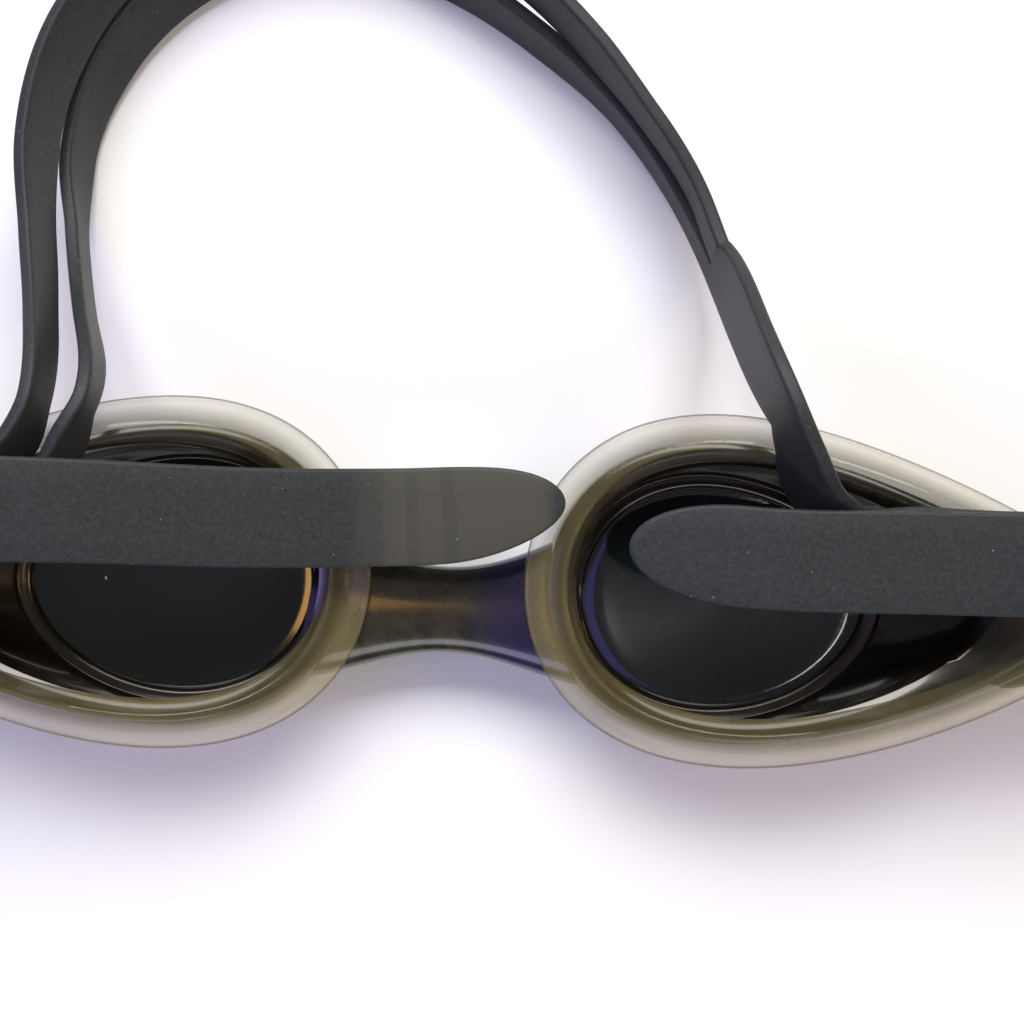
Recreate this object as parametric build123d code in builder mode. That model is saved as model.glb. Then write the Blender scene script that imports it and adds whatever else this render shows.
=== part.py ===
from build123d import *
import os
from dataclasses import dataclass
from math import cos, pi, radians, sin, tan

# Swimming goggles lying on their lenses, with the face side up.
# +X is the wearer's right, +Y the forehead, +Z the face. The mirror plane is X = 0.
# Sizes are in millimetres and degrees.

# ---- eye cups ----
cup_width = 65.2            # seal flange, from its nose edge to its temple tip
cup_height = 39.8
nose_gap = 17.6             # between the two seal flanges
seal_tilt = 8.0             # the temple end of the flange stands nearer the face
seal_height_at_nose = 14.0
seal_thickness = 3.4
frame_inset = 1.9           # the rigid frame ends this far inside the flange's edge
ridge_inset = 5.0           # the seal's inner edge, from the flange's edge
lip_wall = 1.3

# ---- lenses ----
lens_width = 35.2
lens_height = 28.2
lens_offset = 7.7           # the lens sits this far towards the nose from the cup's middle
lens_drop = 1.5
lens_thickness = 1.8
lens_tilt = 4.0
lens_clearance = 0.1
rim_width = 2.1
rim_thickness = 1.5
seat_width = 0.9
bezel_width = 3.6
ledge_thickness = 1.0

# ---- nose bridge ----
bridge_waist = 10.2         # measured up the face
bridge_depth = 4.4
bridge_root = 19.4
bridge_root_depth = 7.0
bridge_y = -4.1
bridge_z = 7.8
bridge_root_drop = 1.0
peg_radius = 1.1
peg_length = 1.8
peg_spacing = 7.0
peg_clearance = 0.05

# ---- strap ----
strap_width = 11.0
strap_thickness = 1.6
strand_width = 6.4
rib_pitch = 4.2
rib_width = 1.3
rib_height = 0.4
rib_end_gap = 1.0           # from the rib's end to the strap's edge
rib_count = 7
rib_start = 13.2            # from the tail's tip to the first rib

# ---- buckles ----
pivot_outset = 10.5         # swivel pin, beyond the flange's temple tip
pivot_rise = 0.3            # and above it
pivot_y = 4.4
swivel_pin_radius = 1.1
lever_pin_radius = 0.7
running_clearance = 0.05
seat_clearance = 0.01
side_clearance = 0.3
knuckle_radius = 2.6
knuckle_width = 6.4
ear_radius = 3.0
ear_width = 2.6
cheek_thickness = 1.5
strap_side_gap = 0.4
bar_radius = 1.3
bar_distance = 8.0          # swivel pin to strap bar
wing_thickness = 2.2
wing_width = 22.0           # where it leaves the cup
wing_shift = 6.0            # its root lies this far below the buckle's middle
wing_root_share = 0.29      # of the cup's width, from the cup's middle to the wing's root
wing_height = 7.5           # its middle plane above the table, at the root
wing_lift = 2.5             # and how far it has risen after its flat run
wing_flat_run = 9.0
wing_dip = 8.3              # below the swivel pin, just before the lug
neck_length = 8.0
fold_angle = {"right": 25.0, "left": 75.0}

SIDES = ("right", "left")


@dataclass(frozen=True)
class Outline:
    """A closed teardrop: blunt at the nose, drawn in at the temple, fuller below than above."""

    width: float
    height: float
    centre_x: float
    centre_y: float
    taper_above: float
    taper_below: float

    def grown(self, margin):
        """The same teardrop with a margin added all round."""
        return Outline(
            self.width + 2 * margin,
            self.height + 2 * margin,
            self.centre_x,
            self.centre_y,
            self.taper_above,
            self.taper_below,
        )

    def point(self, angle):
        """The point at an angle, counted from the temple end."""
        taper = self.taper_above if sin(angle) > 0 else self.taper_below
        blend = abs(sin(angle))
        taper = blend * taper + (1 - blend) * (self.taper_above + self.taper_below) / 2
        fullest = max(sin(t * pi / 60) * (1 - taper * cos(t * pi / 60)) for t in range(60))
        x = self.centre_x + self.width / 2 * cos(angle)
        y = self.centre_y + self.height / 2 * sin(angle) * (1 - taper * cos(angle)) / fullest
        return (x, y)

    def face(self, plane):
        """The teardrop as a face on a plane."""
        count = 16
        with BuildSketch(plane) as drawn:
            with BuildLine():
                Spline(*[self.point(2 * pi * i / count) for i in range(count)], periodic=True)
            make_face()
        return drawn.sketch.face()


cup_centre_x = nose_gap / 2 + cup_width / 2
pivot_x = nose_gap / 2 + cup_width + pivot_outset
flange_outline = Outline(cup_width, cup_height, cup_centre_x, -0.3, 0.45, 0.34)
lens_outline = Outline(
    lens_width, lens_height, cup_centre_x - lens_offset, -0.3 - lens_drop, 0.14, 0.10
)
frame_outline = flange_outline.grown(-frame_inset)
ridge_outline = flange_outline.grown(-ridge_inset)
bezel_outline = lens_outline.grown(bezel_width)
sight_outline = lens_outline.grown(-seat_width)


def tilted(height, angle):
    """A plane that crosses the mirror plane at a height and rises towards the temple."""
    slope = radians(angle)
    return Plane(
        origin=(0, 0, height), x_dir=(cos(slope), 0, sin(slope)), z_dir=(-sin(slope), 0, cos(slope))
    )


# The nose end of the bezel's front face is the lowest point of the cup and rests on the table.
bezel_nose_x = bezel_outline.centre_x - bezel_outline.width / 2
front_plane = tilted(-bezel_nose_x * sin(radians(lens_tilt)), lens_tilt)
flange_nose_x = nose_gap / 2
flange_plane = tilted(seal_height_at_nose - flange_nose_x * tan(radians(seal_tilt)), seal_tilt)
back_plane = flange_plane.offset(-seal_thickness)
pivot_z = seal_height_at_nose + cup_width * tan(radians(seal_tilt)) + pivot_rise
pocket_depth = rim_thickness + lens_thickness + lens_clearance
ledge_plane = front_plane.offset(pocket_depth + ledge_thickness)


def cup_outside():
    """The solid shape of the eye cup, before it is hollowed."""
    with BuildPart() as cup:
        loft(sections=[bezel_outline.face(front_plane), frame_outline.face(back_plane)])
    return cup.part


def cup_hollow():
    """What is taken out of the cup: sight opening, wall slope and pocket for lens and rim."""
    above_ledge = front_plane.offset(pocket_depth)
    with BuildPart() as hollow:
        loft(sections=[sight_outline.face(ledge_plane), ridge_outline.face(back_plane)])
        extrude(sight_outline.face(above_ledge), amount=ledge_thickness)
        pocket = lens_outline.grown(lens_clearance)
        extrude(pocket.face(front_plane.offset(-1)), amount=pocket_depth + 1)
    return hollow.part


def in_fold(side):
    """The buckle's own plane: x from swivel pin to strap bar, y away from the head."""
    angle = radians(fold_angle[side])
    to_bar = (-cos(angle), 0, sin(angle))
    return Plane(origin=(pivot_x, pivot_y, pivot_z), x_dir=to_bar, z_dir=(0, 1, 0))


def bar_place(side):
    """The strap bar's axis in the XZ plane, on the wearer's right."""
    angle = radians(fold_angle[side])
    return (pivot_x - bar_distance * cos(angle), pivot_z + bar_distance * sin(angle))


buckle_inside = strap_width + 2 * strap_side_gap
buckle_width = buckle_inside + 2 * cheek_thickness
lug_width = knuckle_width + 2 * side_clearance + 2 * ear_width


def temple_wing():
    """The broad plate that carries the buckle's lug out from the cup's temple end."""
    root_x = cup_centre_x + wing_root_share * cup_width
    middle_x = root_x + wing_flat_run
    tip_x = pivot_x - ear_radius - side_clearance - 1.6
    tip_z = pivot_z - wing_dip
    flat_z = wing_height + wing_lift
    lower = wing_thickness / 2
    lug_foot = (pivot_x + 0.2 * ear_radius, pivot_z - ear_radius)
    lug_top = (pivot_x - 0.47 * ear_radius, pivot_z - 0.53 * ear_radius)
    side_view = Plane.XZ.offset(-pivot_y)
    reach = lug_width / 2 - ear_width
    with BuildPart() as wing:
        with BuildSketch(side_view):
            with BuildLine():
                Spline((root_x, wing_height - lower), (middle_x, flat_z - lower), (tip_x, tip_z), lug_foot)
                Line(lug_foot, lug_top)
                Spline(
                    lug_top,
                    (tip_x - 1, tip_z + wing_thickness),
                    (middle_x, flat_z + lower),
                    (root_x, wing_height + lower),
                )
                Line((root_x, wing_height + lower), (root_x, wing_height - lower))
            make_face()
        extrude(amount=cup_height, both=True)
        # Seen from above, the wing narrows from the cup to the lug and sits low on the cup.
        with BuildSketch(Plane.XY):
            with BuildLine():
                Polyline(
                    (root_x - 1, pivot_y + wing_width / 2 - wing_shift),
                    (pivot_x - neck_length, pivot_y + lug_width / 2),
                    (pivot_x + ear_radius, pivot_y + lug_width / 2),
                    (pivot_x + ear_radius, pivot_y - lug_width / 2),
                    (pivot_x - neck_length, pivot_y - lug_width / 2 - 1.5),
                    (root_x + 6, pivot_y - wing_width / 2 - wing_shift),
                    (root_x - 1, pivot_y - wing_width / 2 - wing_shift),
                    close=True,
                )
            make_face()
        extrude(amount=4 * pivot_z, both=True, mode=Mode.INTERSECT)
        # The two ears stand either side of the buckle's knuckle.
        with BuildSketch(side_view):
            with Locations((pivot_x, pivot_z)):
                Circle(ear_radius)
        extrude(amount=lug_width / 2, both=True)
        with BuildSketch(side_view):
            with Locations((pivot_x, pivot_z)):
                Circle(ear_radius + side_clearance)
        extrude(amount=reach, both=True, mode=Mode.SUBTRACT)
        with BuildSketch(side_view):
            with Locations((pivot_x, pivot_z)):
                Circle(swivel_pin_radius + seat_clearance)
        extrude(amount=lug_width, both=True, mode=Mode.SUBTRACT)
    return wing.part


def bridge_pegs(radius, length):
    """Two pegs that key the bridge into the right cup's nose wall."""
    with BuildPart() as pegs:
        wall_x = cup_centre_x - frame_outline.width / 2
        for place in (-peg_spacing / 2, peg_spacing / 2):
            with BuildSketch(Plane.YZ.offset(wall_x - 1.5)):
                with Locations((bridge_y + place, bridge_z)):
                    Circle(radius)
            extrude(amount=length + 2.2)
    return pegs.part


def written(part, name, side=""):
    """Turns a finished piece to its side, labels it and writes it."""
    if side == "left":
        part = mirror(part, about=Plane.YZ)
    node = f"{name}_{side}" if side else name
    part.label = node
    export_step(part, f"parts/{node}.step")
    return part


@dataclass(frozen=True)
class Bend:
    """One place on a strap's centre line: how far its width turns up on edge, and the width."""

    x: float
    y: float
    z: float
    roll: float
    width: float


class Strap:
    """A flat strap that follows a smooth centre line through its bends."""

    def __init__(self, bends, start_way, end_way):
        points = [(b.x, b.y, b.z) for b in bends]
        self.bends = bends
        with BuildLine() as route:
            Spline(*points, tangents=[start_way, end_way])
        self.centre = route.line.edges()[0]
        self.places = [self.centre.param_at_point(Vector(*p)) for p in points]

    def between(self, t):
        """Roll and width at a share of the length, eased from one bend to the next."""
        last = len(self.bends) - 1
        after = next(k for k in range(1, last + 1) if t <= self.places[k] + 1e-9 or k == last)
        share = (t - self.places[after - 1]) / (self.places[after] - self.places[after - 1])
        share = share * share * (3 - 2 * share)
        before, following = self.bends[after - 1], self.bends[after]
        roll = before.roll * (1 - share) + following.roll * share
        return roll, before.width * (1 - share) + following.width * share

    def plane(self, t):
        """The plane across the strap, with x along its width and z along its run."""
        roll = radians(self.between(t)[0])
        run = self.centre.tangent_at(t)
        outward = run.cross(Vector(0, 0, 1)).normalized()
        upward = outward.cross(run).normalized()
        width_way = outward * cos(roll) + upward * sin(roll)
        return Plane(origin=self.centre.position_at(t), x_dir=width_way, z_dir=run)

    def solid(self, count):
        """The strap as a closed solid in a number of short runs."""
        with BuildPart() as strip:
            for i in range(count + 1):
                with BuildSketch(self.plane(i / count)):
                    Rectangle(self.between(i / count)[1], strap_thickness)
            loft(ruled=True)
        return strip.part


os.makedirs("parts", exist_ok=True)
outside = cup_outside()
hollow = cup_hollow()
wing_solid = temple_wing()
sockets = bridge_pegs(peg_radius + peg_clearance, peg_length + peg_clearance)

# ---- frames, seals, lenses and rims ----
tongue_depth = 1.0
tongue_inside = ridge_outline.grown(1.0)
tongue_outside = ridge_outline.grown(2.0)

with BuildPart() as groove:
    floor = back_plane.offset(-tongue_depth - seat_clearance)
    extrude(tongue_outside.grown(seat_clearance).face(floor), amount=tongue_depth + 1)
    extrude(
        tongue_inside.grown(-seat_clearance).face(floor.offset(-1)),
        amount=tongue_depth + 3,
        mode=Mode.SUBTRACT,
    )

with BuildPart() as frame:
    add(outside)
    add(wing_solid)
    add(hollow, mode=Mode.SUBTRACT)
    add(groove.part, mode=Mode.SUBTRACT)
    add(sockets, mode=Mode.SUBTRACT)

# The seal flares from the frame's back edge to a thin lip, and is keyed in by its tongue.
with BuildPart() as seal:
    loft(sections=[frame_outline.face(back_plane), flange_outline.face(flange_plane)])
    extrude(tongue_outside.face(back_plane), amount=-tongue_depth)
    extrude(tongue_inside.face(back_plane), amount=-tongue_depth - 1, mode=Mode.SUBTRACT)
    loft(
        sections=[
            ridge_outline.face(back_plane),
            flange_outline.grown(-ridge_inset + lip_wall).face(flange_plane),
        ],
        mode=Mode.SUBTRACT,
    )

with BuildPart() as lens:
    extrude(lens_outline.face(front_plane.offset(rim_thickness)), amount=lens_thickness)

with BuildPart() as rim:
    extrude(lens_outline.face(front_plane), amount=rim_thickness)
    extrude(
        lens_outline.grown(-rim_width).face(front_plane.offset(-1)),
        amount=rim_thickness + 2,
        mode=Mode.SUBTRACT,
    )

for side in SIDES:
    written(frame.part, "frame", side)
    written(seal.part, "seal", side)
    written(lens.part, "lens", side)
    written(rim.part, "lens_rim", side)

# ---- nose bridge ----
root_x = cup_centre_x - frame_outline.width / 2 + 3.4
pegs = bridge_pegs(peg_radius, peg_length)
mirrored_outside = mirror(outside, about=Plane.YZ)
mirrored_pegs = mirror(pegs, about=Plane.YZ)
with BuildPart() as nose_bridge:
    for share in (-1, -0.5, 0, 0.5, 1):
        flare = share * share
        size_y = bridge_waist + (bridge_root - bridge_waist) * flare
        size_z = bridge_depth + (bridge_root_depth - bridge_depth) * flare
        with BuildSketch(Plane.YZ.offset(share * root_x)):
            with Locations((bridge_y, bridge_z - bridge_root_drop * flare)):
                RectangleRounded(size_y, size_z, 0.45 * size_z)
    loft()
    add(outside, mode=Mode.SUBTRACT)
    add(mirrored_outside, mode=Mode.SUBTRACT)
    add(pegs)
    add(mirrored_pegs)
written(nose_bridge.part, "nose_bridge")

# ---- buckles ----
web_start = knuckle_radius + 0.5
web_end = bar_distance - bar_radius - strap_thickness - 0.35
web_half = knuckle_radius - 0.6
cheek_end = bar_distance + 4.4
lever_x = bar_distance + 2.4
lever_y = 4.4
lever_width = buckle_inside - 2 * side_clearance
lever_thickness = 1.4
tooth_x = bar_distance - 1.2
spring_thickness = 0.35

for side in SIDES:
    fold = in_fold(side)
    with BuildPart() as buckle:
        # Knuckle, web and the two cheeks that hold the strap bar and the lever's pin.
        with BuildSketch(fold):
            Circle(knuckle_radius)
            with Locations((web_end / 2, 0)):
                Rectangle(web_end, 2 * web_half)
        extrude(amount=knuckle_width / 2, both=True)
        with BuildSketch(fold):
            with Locations(((web_start + web_end) / 2, 0)):
                Rectangle(web_end - web_start, 2 * web_half)
        extrude(amount=buckle_width / 2, both=True)
        with BuildSketch(fold):
            with BuildLine():
                Polyline(
                    (web_start, -web_half),
                    (cheek_end - 1.5, -web_half),
                    (cheek_end, -0.6),
                    (cheek_end, lever_y),
                    (cheek_end - 1.2, lever_y + 1.3),
                    (lever_x - 1.5, lever_y + 1.3),
                    (web_start, 2.6),
                    close=True,
                )
            make_face()
        extrude(amount=buckle_width / 2, both=True)
        with BuildSketch(fold):
            with Locations(((web_end + cheek_end) / 2 + 1, 1.5)):
                Rectangle(cheek_end - web_end + 2, 14)
            with Locations((web_start, web_half + 5)):
                Rectangle(2 * (web_end - web_start), 10)
        extrude(amount=buckle_inside / 2, both=True, mode=Mode.SUBTRACT)
        with BuildSketch(fold):
            Circle(swivel_pin_radius + running_clearance)
            with Locations((bar_distance, 0)):
                Circle(bar_radius + seat_clearance)
            with Locations((lever_x, lever_y)):
                Circle(lever_pin_radius + seat_clearance)
        extrude(amount=buckle_width, both=True, mode=Mode.SUBTRACT)
    written(buckle.part, "buckle", side)

    with BuildPart() as swivel_pin:
        with BuildSketch(fold):
            Circle(swivel_pin_radius)
        extrude(amount=lug_width / 2, both=True)
    written(swivel_pin.part, "swivel_pin", side)

    with BuildPart() as strap_bar:
        with BuildSketch(fold):
            with Locations((bar_distance, 0)):
                Circle(bar_radius)
        extrude(amount=buckle_width / 2, both=True)
    written(strap_bar.part, "strap_bar", side)

    with BuildPart() as lever_pin:
        with BuildSketch(fold):
            with Locations((lever_x, lever_y)):
                Circle(lever_pin_radius)
        extrude(amount=buckle_width / 2, both=True)
    written(lever_pin.part, "lever_pin", side)

    with BuildPart() as release_lever:
        with BuildSketch(fold):
            with BuildLine():
                Polyline(
                    (tooth_x - 1.1, lever_y - 0.1),
                    (tooth_x, 3.2),
                    (tooth_x + 1.0, lever_y - 0.6),
                    (lever_x + 1.5, lever_y - 0.4),
                    (lever_x + 4.6, lever_y + 0.5),
                    (lever_x + 4.8, lever_y + 1.5),
                    (lever_x + 1.2, lever_y + 1.3),
                    (tooth_x - 1.1, lever_y + 0.9),
                    close=True,
                )
            make_face()
        extrude(amount=lever_width / 2, both=True)
        with BuildSketch(fold):
            with Locations((lever_x, lever_y)):
                Circle(lever_pin_radius + running_clearance)
        extrude(amount=buckle_width, both=True, mode=Mode.SUBTRACT)
    written(release_lever.part, "release_lever", side)

    with BuildPart() as lever_spring:
        foot_y = web_half + seat_clearance
        heel = (web_end - 0.5, foot_y)
        knee = (web_end - 0.5, lever_y + 1.0)
        nose = (tooth_x + 0.4, lever_y + 1.0 + seat_clearance)
        with BuildSketch(fold):
            with BuildLine():
                Polyline(
                    heel,
                    (heel[0] - spring_thickness, heel[1]),
                    (knee[0] - spring_thickness, knee[1] + spring_thickness),
                    (nose[0], nose[1] + spring_thickness),
                    nose,
                    knee,
                    close=True,
                )
            make_face()
        extrude(amount=lever_width / 4, both=True)
    written(lever_spring.part, "lever_spring", side)

# ---- strap ----
rim_y = flange_outline.centre_y + cup_height / 2
wrap_gap = 0.05
wrap_radius = bar_radius + wrap_gap + strap_thickness / 2
strand_end_width = strap_width / 2 - 0.2
rim_clearance = 0.8
waist_width = 0.85 * strap_width    # where the strap turns on edge and crosses the right cup
arm_count = 16
strand_count = 36
tail_count = 14


def rim_height(x):
    """Height of the seal flange above the table at a distance from the mirror plane."""
    return seal_height_at_nose + (abs(x) - nose_gap / 2) * tan(radians(seal_tilt))


def near_cup(sign, along, up, z, roll, width):
    """A bend placed from the middle of a cup and the top of its seal flange."""
    return Bend(sign * (cup_centre_x + along), rim_y + up, z, roll, width)


def over_rim(sign, along, up, roll, width):
    """A bend where the strap stands on edge on the seal flange."""
    x = cup_centre_x + along
    z = rim_height(x) + rim_clearance + width / 2 * sin(radians(roll))
    return Bend(sign * x, rim_y + up, z, roll, width)


def tail(side, bends, tip_length):
    """A free end: it wraps the strap bar, runs inwards and ends in a rounded point."""
    sign = 1 if side == "right" else -1
    bar_x, bar_z = bar_place(side)
    start = Bend(sign * bar_x, pivot_y, bar_z + wrap_radius, 0, strap_width)
    strap = Strap([start, *bends], (-sign, 0, 0), (-sign, 0, -0.03))
    tip = bends[-1]
    with BuildPart() as piece:
        add(strap.solid(tail_count))
        # The end is cut to a half ellipse, seen from above.
        with BuildSketch(Plane.XY):
            with Locations((tip.x + sign * tip_length, tip.y)):
                Ellipse(tip_length, strap_width / 2 + 0.15)
            with Locations((tip.x + sign * (tip_length + pivot_x), pivot_y)):
                Rectangle(2 * pivot_x, 3 * strap_width)
        extrude(amount=3 * pivot_z, mode=Mode.INTERSECT)
        for number in range(rib_count):
            share = 1 - (rib_start + number * rib_pitch) / strap.centre.length
            with BuildSketch(strap.plane(share)):
                Rectangle(strap_width - 2 * rib_end_gap, strap_thickness + 2 * rib_height)
            extrude(amount=rib_width / 2, both=True)
        with BuildSketch(Plane.XZ.offset(-pivot_y)):
            with Locations((sign * bar_x, bar_z)):
                Circle(wrap_radius + strap_thickness / 2)
                Circle(wrap_radius - strap_thickness / 2, mode=Mode.SUBTRACT)
            with Locations((sign * (bar_x - 10), bar_z)):
                Rectangle(20, 20, mode=Mode.SUBTRACT)
        extrude(amount=strap_width / 2, both=True)
    return piece.part


right_tail = [
    Bend(cup_centre_x + 28.6, 4.3, rim_height(pivot_x) + 2.5, 0, strap_width),
    Bend(cup_centre_x + 20.0, 4.0, 25.2, 0, strap_width),
    Bend(cup_centre_x + 8.0, 3.8, 24.1, 0, strap_width),
    Bend(cup_centre_x - 8.0, 3.7, 22.9, 0, strap_width),
    Bend(cup_centre_x - 20.3, 3.75, 21.6, 0, strap_width),
]
left_tail = [
    Bend(-cup_centre_x - 25.0, 5.2, 32.2, 0, strap_width),
    Bend(-cup_centre_x - 8.6, 6.1, 29.2, 0, strap_width),
    Bend(-cup_centre_x + 5.4, 6.2, 24.8, 0, strap_width),
    Bend(-cup_centre_x + 19.4, 6.1, 20.4, 0, strap_width),
    Bend(-nose_gap / 2 + 0.8, 6.6, 17.0, 0, strap_width),
    Bend(2.0, 7.4, 16.1, 0, strap_width),
    Bend(nose_gap / 2 + 3.8, 8.6, 15.9, 0, strap_width),
]
written(tail("right", right_tail, 11.0), "strap_tail_right")
written(tail("left", left_tail, 12.0), "strap_tail_left")

# The strap runs from the right buckle over the right cup, round the head loop and back over the
# left cup. It lies flat under each tail and stands on edge in the loop.
right_x, right_z = bar_place("right")
left_x, left_z = bar_place("left")
right_slit_way = (-0.36, 0.91, -0.2)
left_slit_way = (-0.98, -0.05, 0.19)
right_arm = Strap(
    [
        Bend(right_x, pivot_y, right_z - wrap_radius, 0, strap_width),
        Bend(cup_centre_x + 29.2, 4.4, rim_height(cup_centre_x + 29.2) + 1.6, 0, strap_width),
        Bend(cup_centre_x + 20.0, 4.2, rim_height(cup_centre_x + 20.0) + 1.4, 0, strap_width),
        Bend(cup_centre_x + 12.0, 4.4, rim_height(cup_centre_x + 12.0) - 0.1, 7, strap_width),
        near_cup(1, 4.6, -13.2, 16.4, 42, waist_width),
        near_cup(1, 0.6, -9.5, 17.5, 71, waist_width),
        near_cup(1, -2.9, -5.3, 22.9, 86, waist_width),
        over_rim(1, -6.0, -0.9, 90, waist_width),
        near_cup(1, -7.7, 5.0, 20.6, 92, strap_width),
        near_cup(1, -8.9, 13.7, 12.2, 91, strap_width),
        near_cup(1, -10.3, 18.9, 8.0, 88, strap_width),
    ],
    (-1, 0, 0),
    right_slit_way,
)
left_arm = Strap(
    [
        Bend(-cup_centre_x - 16.6, 5.6, 24.8, 8, strap_width),
        Bend(-cup_centre_x - 24.6, 5.2, 26.4, 0, strap_width),
        Bend(-cup_centre_x - 33.6, 4.7, 28.4, 0, strap_width),
        Bend(-left_x, pivot_y, left_z - wrap_radius, 0, strap_width),
    ],
    left_slit_way,
    (-1, 0, 0),
)
written(right_arm.solid(arm_count * 2), "strap_arm_right")
written(left_arm.solid(arm_count), "strap_arm_left")


def strand_end(arm, t, offset):
    """Where a strand leaves an arm, half the strap's width up or down its end face."""
    plane = arm.plane(t)
    place = plane.origin + plane.x_dir * offset
    return Bend(place.X, place.Y, place.Z, arm.between(t)[0], strand_end_width)


shift = strap_width / 2 - strand_end_width / 2
upper_strand = Strap(
    [
        strand_end(right_arm, 1, shift),
        near_cup(1, -13.0, 25.7, 10.0, 82, strand_end_width),
        near_cup(1, -19.0, 34.9, 9.9, 74, strand_width),
        near_cup(1, -26.6, 44.1, 9.9, 67, strand_width),
        Bend(-21.0, rim_y + 62.2, 10.2, 60, strand_width),
        near_cup(-1, 4.6, 43.4, 10.7, 63, strand_width),
        near_cup(-1, 8.3, 29.6, 11.2, 68, strand_width),
        near_cup(-1, 7.2, 17.6, 13.2, 74, strand_width),
        near_cup(-1, 5.0, 7.8, 18.0, 78, strand_end_width),
        over_rim(-1, 3.9, -1.2, 80, strand_end_width),
        near_cup(-1, 5.5, -6.6, 23.7, 62, strand_end_width),
        near_cup(-1, 10.4, -10.6, 24.4, 25, strand_end_width),
        strand_end(left_arm, 0, shift),
    ],
    right_slit_way,
    left_slit_way,
)
lower_strand = Strap(
    [
        strand_end(right_arm, 1, -shift),
        near_cup(1, -14.6, 26.7, 3.9, 82, strand_end_width),
        near_cup(1, -22.1, 36.8, 3.5, 74, strand_width),
        near_cup(1, -33.3, 46.3, 3.4, 65, strand_width),
        Bend(-20.0, rim_y + 57.8, 3.3, 60, strand_width),
        near_cup(-1, 1.2, 42.3, 3.4, 63, strand_width),
        near_cup(-1, 5.6, 29.5, 3.6, 72, strand_width),
        near_cup(-1, 4.8, 19.2, 6.2, 84, strand_width),
        near_cup(-1, 1.3, 8.6, 13.2, 88, strand_end_width),
        over_rim(-1, -1.4, -1.2, 84, strand_end_width),
        near_cup(-1, 0.3, -6.4, 22.8, 66, strand_end_width),
        near_cup(-1, 6.6, -15.8, 22.0, 25, strand_end_width),
        strand_end(left_arm, 0, -shift),
    ],
    right_slit_way,
    left_slit_way,
)
written(upper_strand.solid(strand_count * 2), "strap_upper_strand")
written(lower_strand.solid(strand_count * 2), "strap_lower_strand")
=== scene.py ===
"""Swimming goggles lying on their lenses on a pale table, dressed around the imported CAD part."""

import logging
import math
from collections.abc import Sequence
from dataclasses import dataclass, field, replace
from enum import Enum

import bmesh
import bpy
import numpy as np
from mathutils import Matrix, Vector


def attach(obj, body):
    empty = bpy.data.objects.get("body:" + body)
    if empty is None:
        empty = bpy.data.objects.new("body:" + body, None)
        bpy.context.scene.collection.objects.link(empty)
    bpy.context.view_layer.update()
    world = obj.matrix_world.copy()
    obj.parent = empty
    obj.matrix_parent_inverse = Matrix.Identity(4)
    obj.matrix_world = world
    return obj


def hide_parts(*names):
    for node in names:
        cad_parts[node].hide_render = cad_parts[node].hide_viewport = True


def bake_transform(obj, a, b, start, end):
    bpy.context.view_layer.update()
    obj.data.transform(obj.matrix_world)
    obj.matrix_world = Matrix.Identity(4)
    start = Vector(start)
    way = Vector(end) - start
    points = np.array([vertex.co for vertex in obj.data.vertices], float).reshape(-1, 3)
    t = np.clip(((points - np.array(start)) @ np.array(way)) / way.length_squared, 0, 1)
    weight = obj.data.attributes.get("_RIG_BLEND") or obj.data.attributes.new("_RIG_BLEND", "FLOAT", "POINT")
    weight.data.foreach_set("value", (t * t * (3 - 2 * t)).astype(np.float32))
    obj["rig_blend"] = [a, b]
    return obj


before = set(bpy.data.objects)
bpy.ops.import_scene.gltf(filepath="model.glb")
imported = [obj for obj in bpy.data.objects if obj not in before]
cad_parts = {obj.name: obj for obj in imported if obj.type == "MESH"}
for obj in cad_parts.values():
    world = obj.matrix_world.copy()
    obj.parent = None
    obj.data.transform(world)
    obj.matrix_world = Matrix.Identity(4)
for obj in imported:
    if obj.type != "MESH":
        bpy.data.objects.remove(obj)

LOG = logging.getLogger("goggles")
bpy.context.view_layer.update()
MM = 0.001
UP = Vector((0, 0, 1))
Ring = list[Vector]

# Sizes that several sub-assemblies share, in millimetres and degrees.
NOSE_GAP = 17.6
CUP_WIDTH = 65.2
CUP_MIDDLE = NOSE_GAP / 2 + CUP_WIDTH / 2
SEAL_TILT = 8.0
LENS_TILT = 4.0
SEAL_NOSE_HEIGHT = 14.0
STRAP_THICKNESS = 1.6
PIVOT_X = 84.5
PIVOT_Y = 4.4
PIVOT_Z = SEAL_NOSE_HEIGHT + 0.3 + CUP_WIDTH * math.tan(math.radians(SEAL_TILT))

# How finely round things are cut.
PIN_SIDES = 40
CUP_POINTS = 128
BRIDGE_POINTS = 48


class Side(Enum):
    """The wearer's side, with the sign of its X."""

    RIGHT = 1
    LEFT = -1

    @property
    def word(self) -> str:
        """The side as it stands in names."""
        return self.name.lower()


# ---------------------------------------------------------------- shaping


def held(value: float) -> float:
    """A value held between 0 and 1."""
    return min(1.0, max(0.0, value))


def only(piece: bpy.types.Object) -> None:
    """Selects one object and nothing else.

    Args:
        piece: The object that the next operators work on.
    """
    bpy.ops.object.select_all(action="DESELECT")
    piece.select_set(True)
    bpy.context.view_layer.objects.active = piece


def close_up(piece: bpy.types.Object, angle: float = 40.0) -> None:
    """Merges doubles, turns the faces outwards and smooths the piece.

    Args:
        piece: The finished mesh.
        angle: Edges sharper than this many degrees stay sharp.
    """
    only(piece)
    bpy.ops.object.mode_set(mode="EDIT")
    bpy.ops.mesh.select_all(action="SELECT")
    bpy.ops.mesh.remove_doubles(threshold=0.002 * MM)
    bpy.ops.mesh.normals_make_consistent(inside=False)
    bpy.ops.object.mode_set(mode="OBJECT")
    bpy.ops.object.shade_smooth_by_angle(angle=math.radians(angle))


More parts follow.
